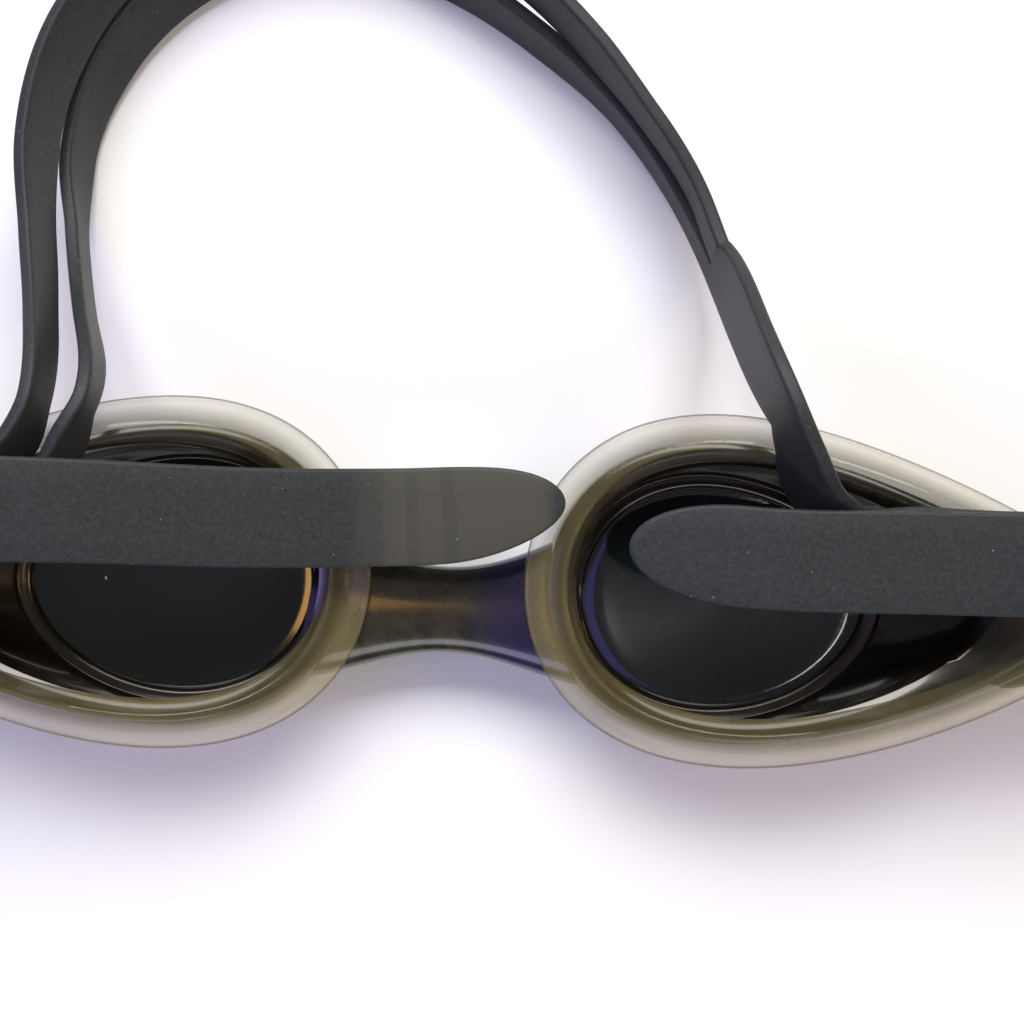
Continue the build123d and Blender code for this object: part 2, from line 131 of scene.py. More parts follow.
def grow(
    name: str,
    rings: Sequence[Ring],
    capped: bool,
    marks: dict[str, Sequence[float]] | None = None,
    angle: float = 40.0,
) -> bpy.types.Object:
    """Extrudes a circle ring by ring into a shell.

    Args:
        name: The piece's name.
        rings: Places of each ring's points, in millimetres.
        capped: True for a solid with two end faces, False for a tube closed on itself.
        marks: Values to keep on each ring's points, by attribute name.
        angle: Edges sharper than this many degrees stay sharp.

    Returns:
        The closed mesh, with its place in its vertices.
    """
    count = len(rings[0])
    path = list(rings) if capped else [*rings, rings[0]]
    bpy.ops.object.select_all(action="DESELECT")
    fill = "NGON" if capped else "NOTHING"
    bpy.ops.mesh.primitive_circle_add(vertices=count, radius=1.0, fill_type=fill)
    piece = bpy.context.active_object
    piece.name = piece.data.name = name
    bpy.ops.object.mode_set(mode="EDIT")
    bpy.ops.mesh.select_all(action="SELECT")
    mesh = bmesh.from_edit_mesh(piece.data)
    layers = {key: mesh.verts.layers.float.new(key) for key in (marks or {})}
    mesh.verts.ensure_lookup_table()
    order = {}
    for k, vertex in enumerate(mesh.verts):
        vertex.co = path[0][k] * MM
        for key, layer in layers.items():
            vertex[layer] = marks[key][0]
        order[tuple(vertex.co)] = k
    for step, ring in enumerate(path[1:], start=1):
        bpy.ops.mesh.extrude_region()
        mesh = bmesh.from_edit_mesh(piece.data)
        layers = {key: mesh.verts.layers.float[key] for key in (marks or {})}
        following = {}
        for vertex in mesh.verts:
            if vertex.select:
                k = order[tuple(vertex.co)]
                vertex.co = ring[k] * MM
                for key, layer in layers.items():
                    vertex[layer] = marks[key][step % len(rings)]
                following[tuple(vertex.co)] = k
        order = following
    bmesh.update_edit_mesh(piece.data)
    bpy.ops.object.mode_set(mode="OBJECT")
    close_up(piece, angle)
    return piece


def join(main: bpy.types.Object, others: Sequence[bpy.types.Object]) -> None:
    """Joins pieces into one mesh and smooths it.

    Args:
        main: The piece that stays.
        others: The pieces that become part of it.
    """
    only(main)
    for other in others:
        other.select_set(True)
    bpy.ops.object.join()
    bpy.ops.object.shade_smooth_by_angle(angle=math.radians(35))


def apply_modifier(piece: bpy.types.Object, kind: str, **settings: object) -> None:
    """Adds a modifier with its settings and applies it.

    Args:
        piece: The object to change.
        kind: Blender's name for the modifier type.
        **settings: The modifier's properties.
    """
    only(piece)
    modifier = piece.modifiers.new(kind.title(), kind)
    for key, value in settings.items():
        setattr(modifier, key, value)
    bpy.ops.object.modifier_apply(modifier=modifier.name)


def traced(node: str, name: str, bevel: float) -> bpy.types.Object:
    """A softened copy of a CAD node, with its edges rounded as a mould rounds them.

    Args:
        node: The CAD node's name.
        name: The new piece's name.
        bevel: Width of the rounding in millimetres.

    Returns:
        The copy.
    """
    piece = bpy.data.objects.new(name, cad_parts[node].data.copy())
    piece.data.name = name
    bpy.context.scene.collection.objects.link(piece)
    only(piece)
    bpy.ops.object.mode_set(mode="EDIT")
    bpy.ops.mesh.select_all(action="SELECT")
    bpy.ops.mesh.remove_doubles(threshold=0.001 * MM)
    bpy.ops.mesh.dissolve_limited(angle_limit=math.radians(2.0))
    bpy.ops.object.mode_set(mode="OBJECT")
    bevel_settings = {"limit_method": "ANGLE", "angle_limit": math.radians(35)}
    apply_modifier(piece, "BEVEL", width=bevel * MM, segments=3, **bevel_settings)
    close_up(piece, 35.0)
    return piece


def pin(name: str, x: float, y: float, z: float, radius: float, length: float) -> bpy.types.Object:
    """A turned pin along Y with chamfered ends and a shallow centre mark in each.

    Args:
        name: The piece's name.
        x: Axis X in millimetres.
        y: Middle Y.
        z: Axis Z.
        radius: Radius.
        length: Length.

    Returns:
        The pin.
    """
    # Shares of the length and of the radius; the first is the bottom of the centre mark.
    end = [(-0.488, 0.12), (-0.5, 0.35), (-0.5, 0.72), (-0.493, 0.88), (-0.47, 1.0)]
    profile = [*end, (-0.2, 1.0), (0.2, 1.0)]
    profile += [(-share, size) for share, size in reversed(end)]
    turns = [2 * math.pi * i / PIN_SIDES for i in range(PIN_SIDES)]
    rings = []
    for share, size in profile:
        along, out = y + length * share, radius * size
        rings.append([Vector((x + out * math.cos(a), along, z + out * math.sin(a))) for a in turns])
    return grow(name, rings, capped=True, angle=30.0)


# ---------------------------------------------------------------- finishes


def linear(colour: str) -> tuple[float, float, float, float]:
    """Turns an sRGB hex colour into linear light.

    Args:
        colour: The colour, such as #202020.

    Returns:
        Red, green, blue and full alpha.
    """
    parts = [int(colour[i : i + 2], 16) / 255 for i in (1, 3, 5)]
    return (*(p / 12.92 if p <= 0.04045 else ((p + 0.055) / 1.055) ** 2.4 for p in parts), 1.0)


def add_node(
    tree: bpy.types.NodeTree,
    kind: str,
    settings: dict[str, object],
    links: dict[str | int, bpy.types.NodeSocket],
) -> bpy.types.Node:
    """Adds one node with its settings and links.

    Args:
        tree: The node tree.
        kind: The node's type.
        settings: Input values by socket name, or properties by their own name.
        links: Source sockets by the input's name or number.

    Returns:
        The node.
    """
    made = tree.nodes.new(kind)
    for key, value in settings.items():
        if key in made.inputs:
            made.inputs[key].default_value = value
        else:
            setattr(made, key, value)
    for key, source in links.items():
        tree.links.new(source, made.inputs[key])
    return made


def set_stops(ramp: bpy.types.Node, stops: Sequence[tuple[float, str]]) -> None:
    """Sets a colour ramp's stops.

    Args:
        ramp: The ramp node.
        stops: Place from 0 to 1, and sRGB hex colour.
    """
    while len(ramp.color_ramp.elements) < len(stops):
        ramp.color_ramp.elements.new(0.5)
    for element, (place, colour) in zip(ramp.color_ramp.elements, stops):
        element.position = place
        element.color = linear(colour)


# What every finish shares.
DARK_STOP, LIGHT_STOP = 0.3, 0.7
NOISE_ROUGHNESS = 0.62
GRAIN_OCTAVES = 4.0
RELIEF_STRENGTH = 0.6
SPECK_CORE = 0.16


@dataclass(frozen=True)
class Finish:
    """A moulded or turned surface: two close colours, fine grain and a little dust.

    Sizes of grain and mottle are in millimetres.
    """

    name: str
    slot: str
    light: str
    dark: str
    roughness: float
    roughness_swing: float = 0.08
    grain: float = 0.25
    grain_height: float = 0.01
    mottle: float = 6.0
    mottle_detail: float = 3.0
    speck_spacing: float = 0.0
    speck_size: float = 0.1
    speck_colour: str = "#9A9C9A"
    mark: str = ""
    marked: str = "#000000"
    fixed: dict[str, float] = field(default_factory=dict)

    def material(self) -> bpy.types.Material:
        """Builds the material.

        Returns:
            A node material on Object coordinates.
        """
        made = bpy.data.materials.new(self.name)
        made.use_nodes = True
        tree = made.node_tree
        shader = tree.nodes["Principled BSDF"]
        place = add_node(tree, "ShaderNodeTexCoord", {}, {}).outputs["Object"]
        cloud = self.noise(tree, place, self.mottle, self.mottle_detail)
        ramp = add_node(tree, "ShaderNodeValToRGB", {}, {"Fac": cloud})
        set_stops(ramp, [(DARK_STOP, self.dark), (LIGHT_STOP, self.light)])
        colour = ramp.outputs["Color"]
        if self.mark:
            colour = self.marked_colour(tree, colour)
        if self.speck_spacing:
            colour = self.specks(tree, place, colour)
        tree.links.new(colour, shader.inputs["Base Color"])
        grain = self.noise(tree, place, self.grain, GRAIN_OCTAVES)
        spread = {
            "To Min": self.roughness - self.roughness_swing,
            "To Max": self.roughness + self.roughness_swing,
        }
        rough = add_node(tree, "ShaderNodeMapRange", spread, {"Value": cloud})
        tree.links.new(rough.outputs["Result"], shader.inputs["Roughness"])
        relief = {"Strength": RELIEF_STRENGTH, "Distance": self.grain_height * MM}
        bump = add_node(tree, "ShaderNodeBump", relief, {"Height": grain})
        tree.links.new(bump.outputs["Normal"], shader.inputs["Normal"])
        for socket, value in self.fixed.items():
            shader.inputs[socket].default_value = value
        self.extra(tree, shader)
        return made

    def noise(
        self, tree: bpy.types.NodeTree, place: bpy.types.NodeSocket, size: float, detail: float
    ) -> bpy.types.NodeSocket:
        """Cloudy noise with features of a size.

        Args:
            tree: The node tree.
            place: The coordinates.
            size: Feature size in millimetres.
            detail: Octaves.

        Returns:
            The noise value.
        """
        settings = {"Scale": 1 / (size * MM), "Detail": detail, "Roughness": NOISE_ROUGHNESS}
        return add_node(tree, "ShaderNodeTexNoise", settings, {"Vector": place}).outputs[0]

    def marked_colour(
        self, tree: bpy.types.NodeTree, colour: bpy.types.NodeSocket
    ) -> bpy.types.NodeSocket:
        """Turns to the marked colour where the piece's own attribute says so.

        Args:
            tree: The node tree.
            colour: The plain colour.

        Returns:
            The mixed colour.
        """
        share = add_node(tree, "ShaderNodeAttribute", {"attribute_name": self.mark}, {})
        mix = add_node(tree, "ShaderNodeMix", {"data_type": "RGBA"}, {})
        tree.links.new(share.outputs["Fac"], mix.inputs[0])
        tree.links.new(colour, mix.inputs[6])
        mix.inputs[7].default_value = linear(self.marked)
        return mix.outputs[2]

    def specks(
        self,
        tree: bpy.types.NodeTree,
        place: bpy.types.NodeSocket,
        colour: bpy.types.NodeSocket,
    ) -> bpy.types.NodeSocket:
        """Scatters pale dust over the colour.

        Args:
            tree: The node tree.
            place: The coordinates.
            colour: The clean colour.

        Returns:
            The dusty colour.
        """
        settings = {"Scale": 1 / (self.speck_spacing * MM)}
        cells = add_node(tree, "ShaderNodeTexVoronoi", settings, {"Vector": place})
        ragged = self.noise(tree, place, 0.3 * self.speck_spacing, 2.0)
        shift = add_node(
            tree, "ShaderNodeMath", {"operation": "MULTIPLY"}, {0: ragged, 1: ragged}
        )
        tested = add_node(
            tree,
            "ShaderNodeMath",
            {"operation": "ADD"},
            {0: cells.outputs["Distance"], 1: shift.outputs[0]},
        )
        limits = {
            "From Min": SPECK_CORE + self.speck_size,
            "From Max": SPECK_CORE + 0.5 * self.speck_size,
        }
        share = add_node(tree, "ShaderNodeMapRange", limits, {"Value": tested.outputs[0]})
        mix = add_node(tree, "ShaderNodeMix", {"data_type": "RGBA"}, {})
        tree.links.new(share.outputs["Result"], mix.inputs[0])
        tree.links.new(colour, mix.inputs[6])
        mix.inputs[7].default_value = linear(self.speck_colour)
        return mix.outputs[2]

    def extra(self, tree: bpy.types.NodeTree, shader: bpy.types.Node) -> None:
        """Room for what only one finish has.

        Args:
            tree: The node tree.
            shader: The surface shader.
        """


@dataclass(frozen=True)
class Elastomer(Finish):
    """Translucent smoke elastomer: clear at a thin lip, dense where it is thick."""

    thin_alpha: float = 0.15
    thick_alpha: float = 0.6

    def extra(self, tree: bpy.types.NodeTree, shader: bpy.types.Node) -> None:
        """Lets light through by the piece's own thickness mark.

        Args:
            tree: The node tree.
            shader: The surface shader.
        """
        share = add_node(tree, "ShaderNodeAttribute", {"attribute_name": "thickness"}, {})
        limits = {"To Min": self.thin_alpha, "To Max": self.thick_alpha}
        clear = add_node(tree, "ShaderNodeMapRange", limits, {"Value": share.outputs["Fac"]})
        tree.links.new(clear.outputs["Result"], shader.inputs["Alpha"])


# Liquid silicone, moulded: matt dark grey that picks up lint, with painted light: paler where the table's
# light would shine through the thin band.
STRAP = Finish(
    "moulded_silicone",
    "strap_silicone",
    light="#2C3032",
    dark="#171A1B",
    roughness=0.55,
    grain=0.2,
    grain_height=0.02,
    mottle=0.5,
    mottle_detail=7.0,
    speck_spacing=0.9,
    speck_size=0.05,
    # The marked colour is painted light: the pale glow of the table shining through the thin silicone.
    mark="web",
    marked="#403F36",
    fixed={"IOR": 1.41, "Sheen Weight": 0.04, "Sheen Roughness": 0.6},
)
# Thermoplastic elastomer, clear smoke: glossy skin, the lip is nearly water clear.
SEAL = Elastomer(
    "smoke_elastomer",
    "smoke_seal",
    light="#AFA36A",
    dark="#958A58",
    roughness=0.14,
    roughness_swing=0.04,
    grain=0.5,
    grain_height=0.006,
    mottle=8.0,
    speck_spacing=3.1,
    speck_size=0.04,
    speck_colour="#8A8C84",
    mark="thickness",
    marked="#2B271B",
    fixed={"IOR": 1.47, "Coat Weight": 0.35, "Coat Roughness": 0.1},
)
# Polycarbonate with pearl pigment: pewter outside with a clear coat, with painted shade in the hollow, brown
# as light shining through the smoke wall.
PEARL = Finish(
    "pearl_polycarbonate",
    "pearl_frame",
    light="#4A4839",
    dark="#312F27",
    roughness=0.22,
    grain=0.12,
    grain_height=0.004,
    mottle=3.0,
    # The marked colour is painted shade inside the cup, tinted brown as light shining through the wall.
    mark="hollow",
    marked="#2A2317",
    fixed={"IOR": 1.585, "Metallic": 0.6, "Coat Weight": 0.6, "Coat Roughness": 0.08},
)
# The same pearl with a painted violet sheen at one end of the saddle: a painted reflection of the lavender
# light.
PAINTED_SHEEN = replace(PEARL, name="pearl_saddle_painted_sheen", mark="painted_sheen", marked="#2D2752", roughness=0.27)
# Smoked polycarbonate, polished and hard coated: black with a clean mirror-like gloss.
LENS = Finish(
    "smoked_lens",
    "smoke_lens",
    light="#161A1A",
    dark="#111414",
    roughness=0.06,
    roughness_swing=0.015,
    grain=2.0,
    grain_height=0.002,
    mottle=12.0,
    speck_spacing=4.0,
    speck_size=0.03,
    fixed={"IOR": 1.585, "Coat Weight": 0.3, "Coat Roughness": 0.03},
)
# ABS, moulded glossy black: the ring that holds the lens.
RING = Finish(
    "glossy_abs",
    "rim_plastic",
    light="#1A1A1A",
    dark="#121212",
    roughness=0.18,
    grain=0.4,
    grain_height=0.004,
    mottle=5.0,
    fixed={"IOR": 1.54},
)
# Acetal, spark-eroded mould: fine matt grain with a waxy sheen.
ACETAL = Finish(
    "matt_acetal",
    "buckle_plastic",
    light="#2B2B2B",
    dark="#202020",
    roughness=0.42,
    grain=0.1,
    grain_height=0.01,
    mottle=4.0,
    speck_spacing=2.2,
    speck_size=0.04,
    fixed={"IOR": 1.48, "Sheen Weight": 0.05},
)
# Stainless steel, turned: fine rings and a satin shine.
STEEL = Finish(
    "turned_steel",
    "steel_pin",
    light="#A9AAAC",
    dark="#8E9093",
    roughness=0.28,
    grain=0.08,
    grain_height=0.004,
    mottle=1.5,
    fixed={"Metallic": 1.0},
)
# Spring steel strip, rolled: brighter, with a rolled grain.
STRIP = Finish(
    "rolled_spring_steel",
    "spring_steel",
    light="#B4B5B6",
    dark="#9A9B9D",
    roughness=0.32,
    grain=0.06,
    grain_height=0.003,
    mottle=1.0,
    fixed={"Metallic": 1.0},
)


class Wardrobe:
    """Builds each finish once and dresses pieces in it."""

    def __init__(self) -> None:
        """Starts with nothing built."""
        self.made: dict[str, bpy.types.Material] = {}

    def dress(self, piece: bpy.types.Object, finish: Finish) -> None:
        """Gives a piece its finish.

        Args:
            piece: The finished mesh.
            finish: What it is made of.
        """
        if finish.name not in self.made:
            self.made[finish.name] = finish.material()
        piece.data.materials.clear()
        piece.data.materials.append(self.made[finish.name])


WARDROBE = Wardrobe()


def place_on(piece: bpy.types.Object, finish: Finish, body: str, *nodes: str) -> None:
    """Dresses a piece, rides it on a body and lets it stand for its CAD nodes.

    Args:
        piece: The finished mesh.
        finish: What it is made of.
        body: The CAD body that it moves with.
        *nodes: The CAD nodes that it stands for.
    """
    WARDROBE.dress(piece, finish)
    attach(piece, body)
    if nodes:
        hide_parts(*nodes)
    LOG.info("%s: %d faces on %s", piece.name, len(piece.data.polygons), body)


# ---------------------------------------------------------------- eye cups


@dataclass(frozen=True)
class Outline:
    """A closed teardrop: blunt at the nose and drawn in at the temple. Sizes in millimetres."""

    width: float
    height: float
    centre_x: float
    centre_y: float
    taper_above: float
    taper_below: float

    def grown(self, margin: float) -> "Outline":
        """The same teardrop with a margin added all round."""
        return replace(self, width=self.width + 2 * margin, height=self.height + 2 * margin)

    def points(self, count: int) -> list[tuple[float, float]]:
        """Points round the teardrop, from the temple end.

        Args:
            count: How many.

        Returns:
            Their places in the outline's plane.
        """
        places = []
        for k in range(count):
            angle = 2 * math.pi * k / count
            taper = self.taper_above if math.sin(angle) > 0 else self.taper_below
            blend = abs(math.sin(angle))
            taper = blend * taper + (1 - blend) * (self.taper_above + self.taper_below) / 2
            turns = [t * math.pi / 60 for t in range(60)]
            fullest = max(math.sin(t) * (1 - taper * math.cos(t)) for t in turns)
            rise = math.sin(angle) * (1 - taper * math.cos(angle)) / fullest
            x = self.centre_x + self.width / 2 * math.cos(angle)
            places.append((x, self.centre_y + self.height / 2 * rise))
        return places


@dataclass(frozen=True)
class Slant:
    """A plane that crosses the mirror plane at a height and rises towards the temple."""

    height: float
    angle: float

    def point(self, x: float, y: float, lift: float) -> Vector:
        """The place of a point of the plane.

        Args:
            x: Along the slope.
            y: Up the face.
            lift: Off the plane, towards the face.

        Returns:
            Its place in millimetres.
        """
        slope = math.radians(self.angle)
        return Vector(
            (
                x * math.cos(slope) - lift * math.sin(slope),
                y,
                self.height + x * math.sin(slope) + lift * math.cos(slope),
            )
        )

    def ring(self, outline: Outline, lift: float, count: int) -> Ring:
        """A teardrop ring on the plane."""
        return [self.point(x, y, lift) for x, y in outline.points(count)]


def between(first: Ring, second: Ring, share: float) -> Ring:
    """A ring part of the way from one ring to another."""
    return [a.lerp(b, share) for a, b in zip(first, second)]


def swollen(ring: Ring, amount: float) -> Ring:
    """A ring pushed outwards in the XY plane, from its own middle.

    Args:
        ring: The ring.
        amount: How far, in millimetres.

    Returns:
        The larger ring.
    """
    middle = sum(ring, Vector()) / len(ring)
    moved = []
    for place in ring:
        away = Vector((place.x - middle.x, place.y - middle.y, 0)).normalized()
        moved.append(place + away * amount)
    return moved


def mirrored(rings: Sequence[Ring], side: Side) -> list[Ring]:
    """The rings of the wearer's right side, turned to a side."""
    return [[Vector((side.value * p.x, p.y, p.z)) for p in ring] for ring in rings]


# The planes of the seal's flange and of the lens's front.
LENS_NOSE_X = 12.5
SEAL_SLANT = Slant(
    SEAL_NOSE_HEIGHT - NOSE_GAP / 2 * math.tan(math.radians(SEAL_TILT)), SEAL_TILT
)
LENS_SLANT = Slant(-LENS_NOSE_X * math.sin(math.radians(LENS_TILT)), LENS_TILT)


@dataclass(frozen=True)
class EyeCup:
    """One eye cup: soft seal, pearl shell, smoked lens and lens ring."""

    side: Side
    cup_height: float = 39.8
    wall_inset: float = 5.8
    wall_inset_high: float = 5.2
    mouth_width: float = 45.6
    mouth_height: float = 29.3
    mouth_shift: float = 3.8
    lens_width: float = 35.2
    lens_height: float = 28.2
    lens_shift: float = 7.7
    seal_slant: Slant = SEAL_SLANT
    lens_slant: Slant = LENS_SLANT
    seal_thickness: float = 3.4
    nose_lean: float = 1.3
    roll_start: float = 1.2
    roll_spread: float = 2.3
    stand_spread: float = 1.2
    crown: float = 0.45
    temple_ramp: float = 2.0
    bezel_width: float = 3.6
    seat_width: float = 0.9
    pocket_depth: float = 3.4
    ledge_thickness: float = 1.0
    rim_thickness: float = 1.5
    rim_width: float = 2.1
    lens_thickness: float = 1.8
    count: int = CUP_POINTS

    @property
    def flange(self) -> Outline:
        """The seal's outer edge."""
        return Outline(CUP_WIDTH, self.cup_height, CUP_MIDDLE, -0.3, 0.45, 0.34)

    @property
    def opening(self) -> Outline:
        """The lens's edge."""
        middle = CUP_MIDDLE - self.lens_shift
        return Outline(self.lens_width, self.lens_height, middle, -1.8, 0.14, 0.10)

    @property
    def wall_top(self) -> Outline:
        """The rigid wall's outer edge, under the seal."""
        sizes = (CUP_WIDTH - self.wall_inset, self.cup_height - self.wall_inset_high)
        return Outline(*sizes, CUP_MIDDLE - 0.4, self.flange.centre_y - 0.35, 0.49, 0.35)

    @property
    def mouth(self) -> Outline:
        """The hollow's upper edge, which stops well short of the temple."""
        middle = CUP_MIDDLE - self.mouth_shift
        return Outline(self.mouth_width, self.mouth_height, middle, -0.75, 0.30, 0.22)

    def seal_ring(self, inset: float, lift: float) -> Ring:
        """A ring of the seal, by its inset from the flange's edge and height on the flange."""
        return self.seal_slant.ring(self.flange.grown(-inset), lift, self.count)

    def leaned(self, inset: float, lift: float) -> Ring:
        """A ring of the seal whose rolled edge stands further in beside the nose.

        Args:
            inset: Its distance in from the flange's edge.
            lift: Its height on the flange.

        Returns:
            The ring.
        """
        rolled = held((inset - self.roll_start) / self.roll_spread)
        standing = held((lift + self.seal_thickness + 0.02) / self.stand_spread)
        lean = self.nose_lean * rolled * standing
        places = []
        for place in self.seal_ring(inset, lift):
            towards_nose = max(0.0, (CUP_MIDDLE - place.x) / (CUP_WIDTH / 2)) ** 2
            places.append(place + Vector((lean * towards_nose, 0, 0)))
        return places

    def lens_ring(self, margin: float, lift: float) -> Ring:
        """A ring round the lens, by its margin outside the lens and height on the front."""
        return self.lens_slant.ring(self.opening.grown(margin), lift, self.count)

    def seal(self) -> bpy.types.Object:
        """The face seal: a thin flared lip, a rolled inner edge and a thick root.

        Returns:
            The seal, marked with how thick it is.
        """
        # Inset from the edge, height on the flange, and thickness from 0, thin, to 1.
        profile = [
            (3.0, -3.42, 0.9),
            (2.85, -3.0, 0.85),
            (2.5, -2.35, 0.75),
            (2.0, -1.75, 0.5),
            (1.4, -1.3, 0.2),
            (0.8, -1.05, 0.0),
            (0.32, -0.86, 0.1),
            (0.08, -0.68, 0.6),
            (0.0, -0.48, 1.0),
            (0.03, -0.27, 1.0),
            (0.15, -0.1, 0.7),
            (0.4, -0.02, 0.1),
            (1.0, 0.0, 0.05),
            (1.8, -0.02, 0.35),
            (2.6, -0.02, 0.6),
            (3.1, 0.08, 0.75),
            (3.45, 0.2, 0.7),
            (3.75, 0.2, 0.6),
            (3.98, 0.02, 0.7),
            (4.1, -0.3, 0.7),
            (4.25, -0.9, 0.6),
            (4.5, -1.6, 0.5),
            (4.8, -2.4, 0.5),
            (5.1, -3.1, 0.6),
            (5.2, -3.3, 0.7),
            (4.6, -3.42, 0.7),
            (3.8, -3.42, 0.8),
        ]
        rings = [self.leaned(inset, lift) for inset, lift, _ in profile]
        marks = {"thickness": [thickness for *_, thickness in profile]}
        name = f"face_seal_{self.side.word}"
        return grow(name, mirrored(rings, self.side), capped=False, marks=marks)

    def shell(self) -> bpy.types.Object:
        """The rigid cup: rounded bezel, swelling wall, stepped hollow and lens pocket.

        Returns:
            The shell, marked where it is inside the hollow, where its finish paints shade.
        """
        front = self.lens_ring(self.bezel_width, 0.0)
        depth = -self.seal_thickness
        back = self.seal_slant.ring(self.wall_top, depth, self.count)
        ridge = self.seal_slant.ring(self.mouth, depth - 0.25, self.count)
        ledge = self.pocket_depth + self.ledge_thickness
        step = self.lens_ring(0.5, ledge + 0.05)
        shelf = self.lens_ring(1.1, ledge + 0.75)
        rings = [
            self.lens_ring(self.bezel_width - 1.0, 0.0),
            self.lens_ring(self.bezel_width - 0.45, 0.05),
            self.lens_ring(self.bezel_width - 0.12, 0.3),
            between(front, back, 0.07),
        ]
        # Share of painted hollow shade on each ring: none outside, rising over the crown to full inside the
        # cup.
        inside = [0.0] * 4
        for share in (0.13, 0.2, 0.3, 0.4, 0.5, 0.6, 0.7, 0.8, 0.88, 0.95):
            swell = 0.5 * math.sin(math.pi * share)
            rings.append(swollen(between(front, back, share), swell))
            inside.append(0.0)
        ramp = (0.03, 0.12, 0.3, 0.5, 0.7, 0.86, 0.96)
        rings += [self.crowned(back, ridge, share) for share in ramp]
        inside += [0.0, 0.05, 0.15, 0.25, 0.4, 0.7, 1.0]
        for share in (0.08, 0.18, 0.3, 0.42, 0.54, 0.66, 0.78, 0.88, 0.95):
            bulge = 0.35 * math.sin(math.pi * share)
            rings.append(swollen(between(ridge, shelf, share), bulge))
            inside.append(1.0)
        rings += [
            shelf,
            self.lens_ring(0.95, ledge + 0.6),
            self.lens_ring(0.85, ledge + 0.35),
            self.lens_ring(0.77, ledge + 0.14),
            self.lens_ring(0.65, ledge + 0.06),
            step,
            self.lens_ring(0.05, ledge),
            self.lens_ring(-0.35, ledge - 0.05),
            self.lens_ring(-0.62, ledge - 0.2),
            self.lens_ring(-0.82, ledge - 0.5),
            self.lens_ring(-self.seat_width, ledge - 0.9),
            self.lens_ring(-self.seat_width + 0.05, self.pocket_depth),
            self.lens_ring(0.1, self.pocket_depth),
            self.lens_ring(0.1, 0.2),
            self.lens_ring(0.3, 0.0),
            self.lens_ring(1.4, 0.0),
        ]
        inside += [1.0] * 13 + [0.5, 0.0, 0.0]
        name = f"cup_shell_{self.side.word}"
        marks = {"hollow": inside}
        return grow(name, mirrored(rings, self.side), capped=False, marks=marks)

    def crowned(self, outer: Ring, inner: Ring, share: float) -> Ring:
        """A ring of the wall's broad top, crowned and ramped up towards the temple.

        Args:
            outer: The wall's outer edge.
            inner: The hollow's edge.
            share: How far the ring is from the outer edge to the inner.

        Returns:
            The ring.
        """
        crown = self.crown * math.sin(math.pi * share)
        ramp = self.temple_ramp * math.sin(math.pi * share) ** 0.5 * (1 - share)
        lifted = []
        for place in between(outer, inner, share):
            towards_temple = max(0.0, (place.x - CUP_MIDDLE) / (CUP_WIDTH / 2)) ** 3
            lifted.append(place + UP * (crown + ramp * towards_temple))
        return lifted

    def lens(self) -> bpy.types.Object:
        """The lens: a shallow meniscus with a polished bevel all round.

        Returns:
            The lens.
        """
        low, high = self.rim_thickness, self.rim_thickness + self.lens_thickness
        rings = []
        for scale in (0.02, 0.25, 0.5, 0.7, 0.84, 0.93):
            rings.append(self.lens_disc(scale, low - 0.9 * (1 - scale * scale)))
        rings += [
            self.lens_ring(-0.35, low),
            self.lens_ring(-0.05, low + 0.15),
            self.lens_ring(0.0, low + 0.4),
            self.lens_ring(0.0, high - 0.5),
            self.lens_ring(-0.08, high - 0.2),
            self.lens_ring(-0.3, high),
            self.lens_ring(-1.5, high),
        ]
        for scale in (0.86, 0.8, 0.7, 0.5, 0.25, 0.02):
            rings.append(self.lens_disc(scale, high - 0.7 * (1 - scale * scale) + 0.14))
        return grow(f"smoke_glass_{self.side.word}", mirrored(rings, self.side), capped=True)

    def lens_disc(self, scale: float, lift: float) -> Ring:
        """A lens ring shrunk towards the lens's middle."""
        shape = self.opening
        small = replace(shape, width=shape.width * scale, height=shape.height * scale)
        return self.lens_slant.ring(small, lift, self.count)

    def bezel_ring(self) -> bpy.types.Object:
        """The snap ring in front of the lens, with rounded lips.

        Returns:
            The ring.
        """
        inner, high = -self.rim_width, self.rim_thickness
        profile = [(0.0, high), (0.0, 0.25), (-0.08, 0.08), (-0.3, 0.0), (-1.3, 0.0)]
        profile += [(-1.75, 0.1), (inner + 0.08, 0.35), (inner, 0.8), (inner, high)]
        rings = [self.lens_ring(margin, lift) for margin, lift in profile]
        return grow(f"snap_ring_{self.side.word}", mirrored(rings, self.side), capped=False)

    def build(self) -> None:
        """Builds and dresses the cup's pieces."""
        word = self.side.word
        place_on(self.shell(), PEARL, "root", f"frame_{word}")
        place_on(self.seal(), SEAL, "root", f"seal_{word}")
        place_on(self.lens(), LENS, "root", f"lens_{word}")
        place_on(self.bezel_ring(), RING, "root", f"lens_rim_{word}")


# ---------------------------------------------------------------- bands


@dataclass(frozen=True)
class Bend:
    """One place on a band's centre line, in millimetres, and its roll on edge in degrees."""

    x: float
    y: float
    z: float
    roll: float
    width: float


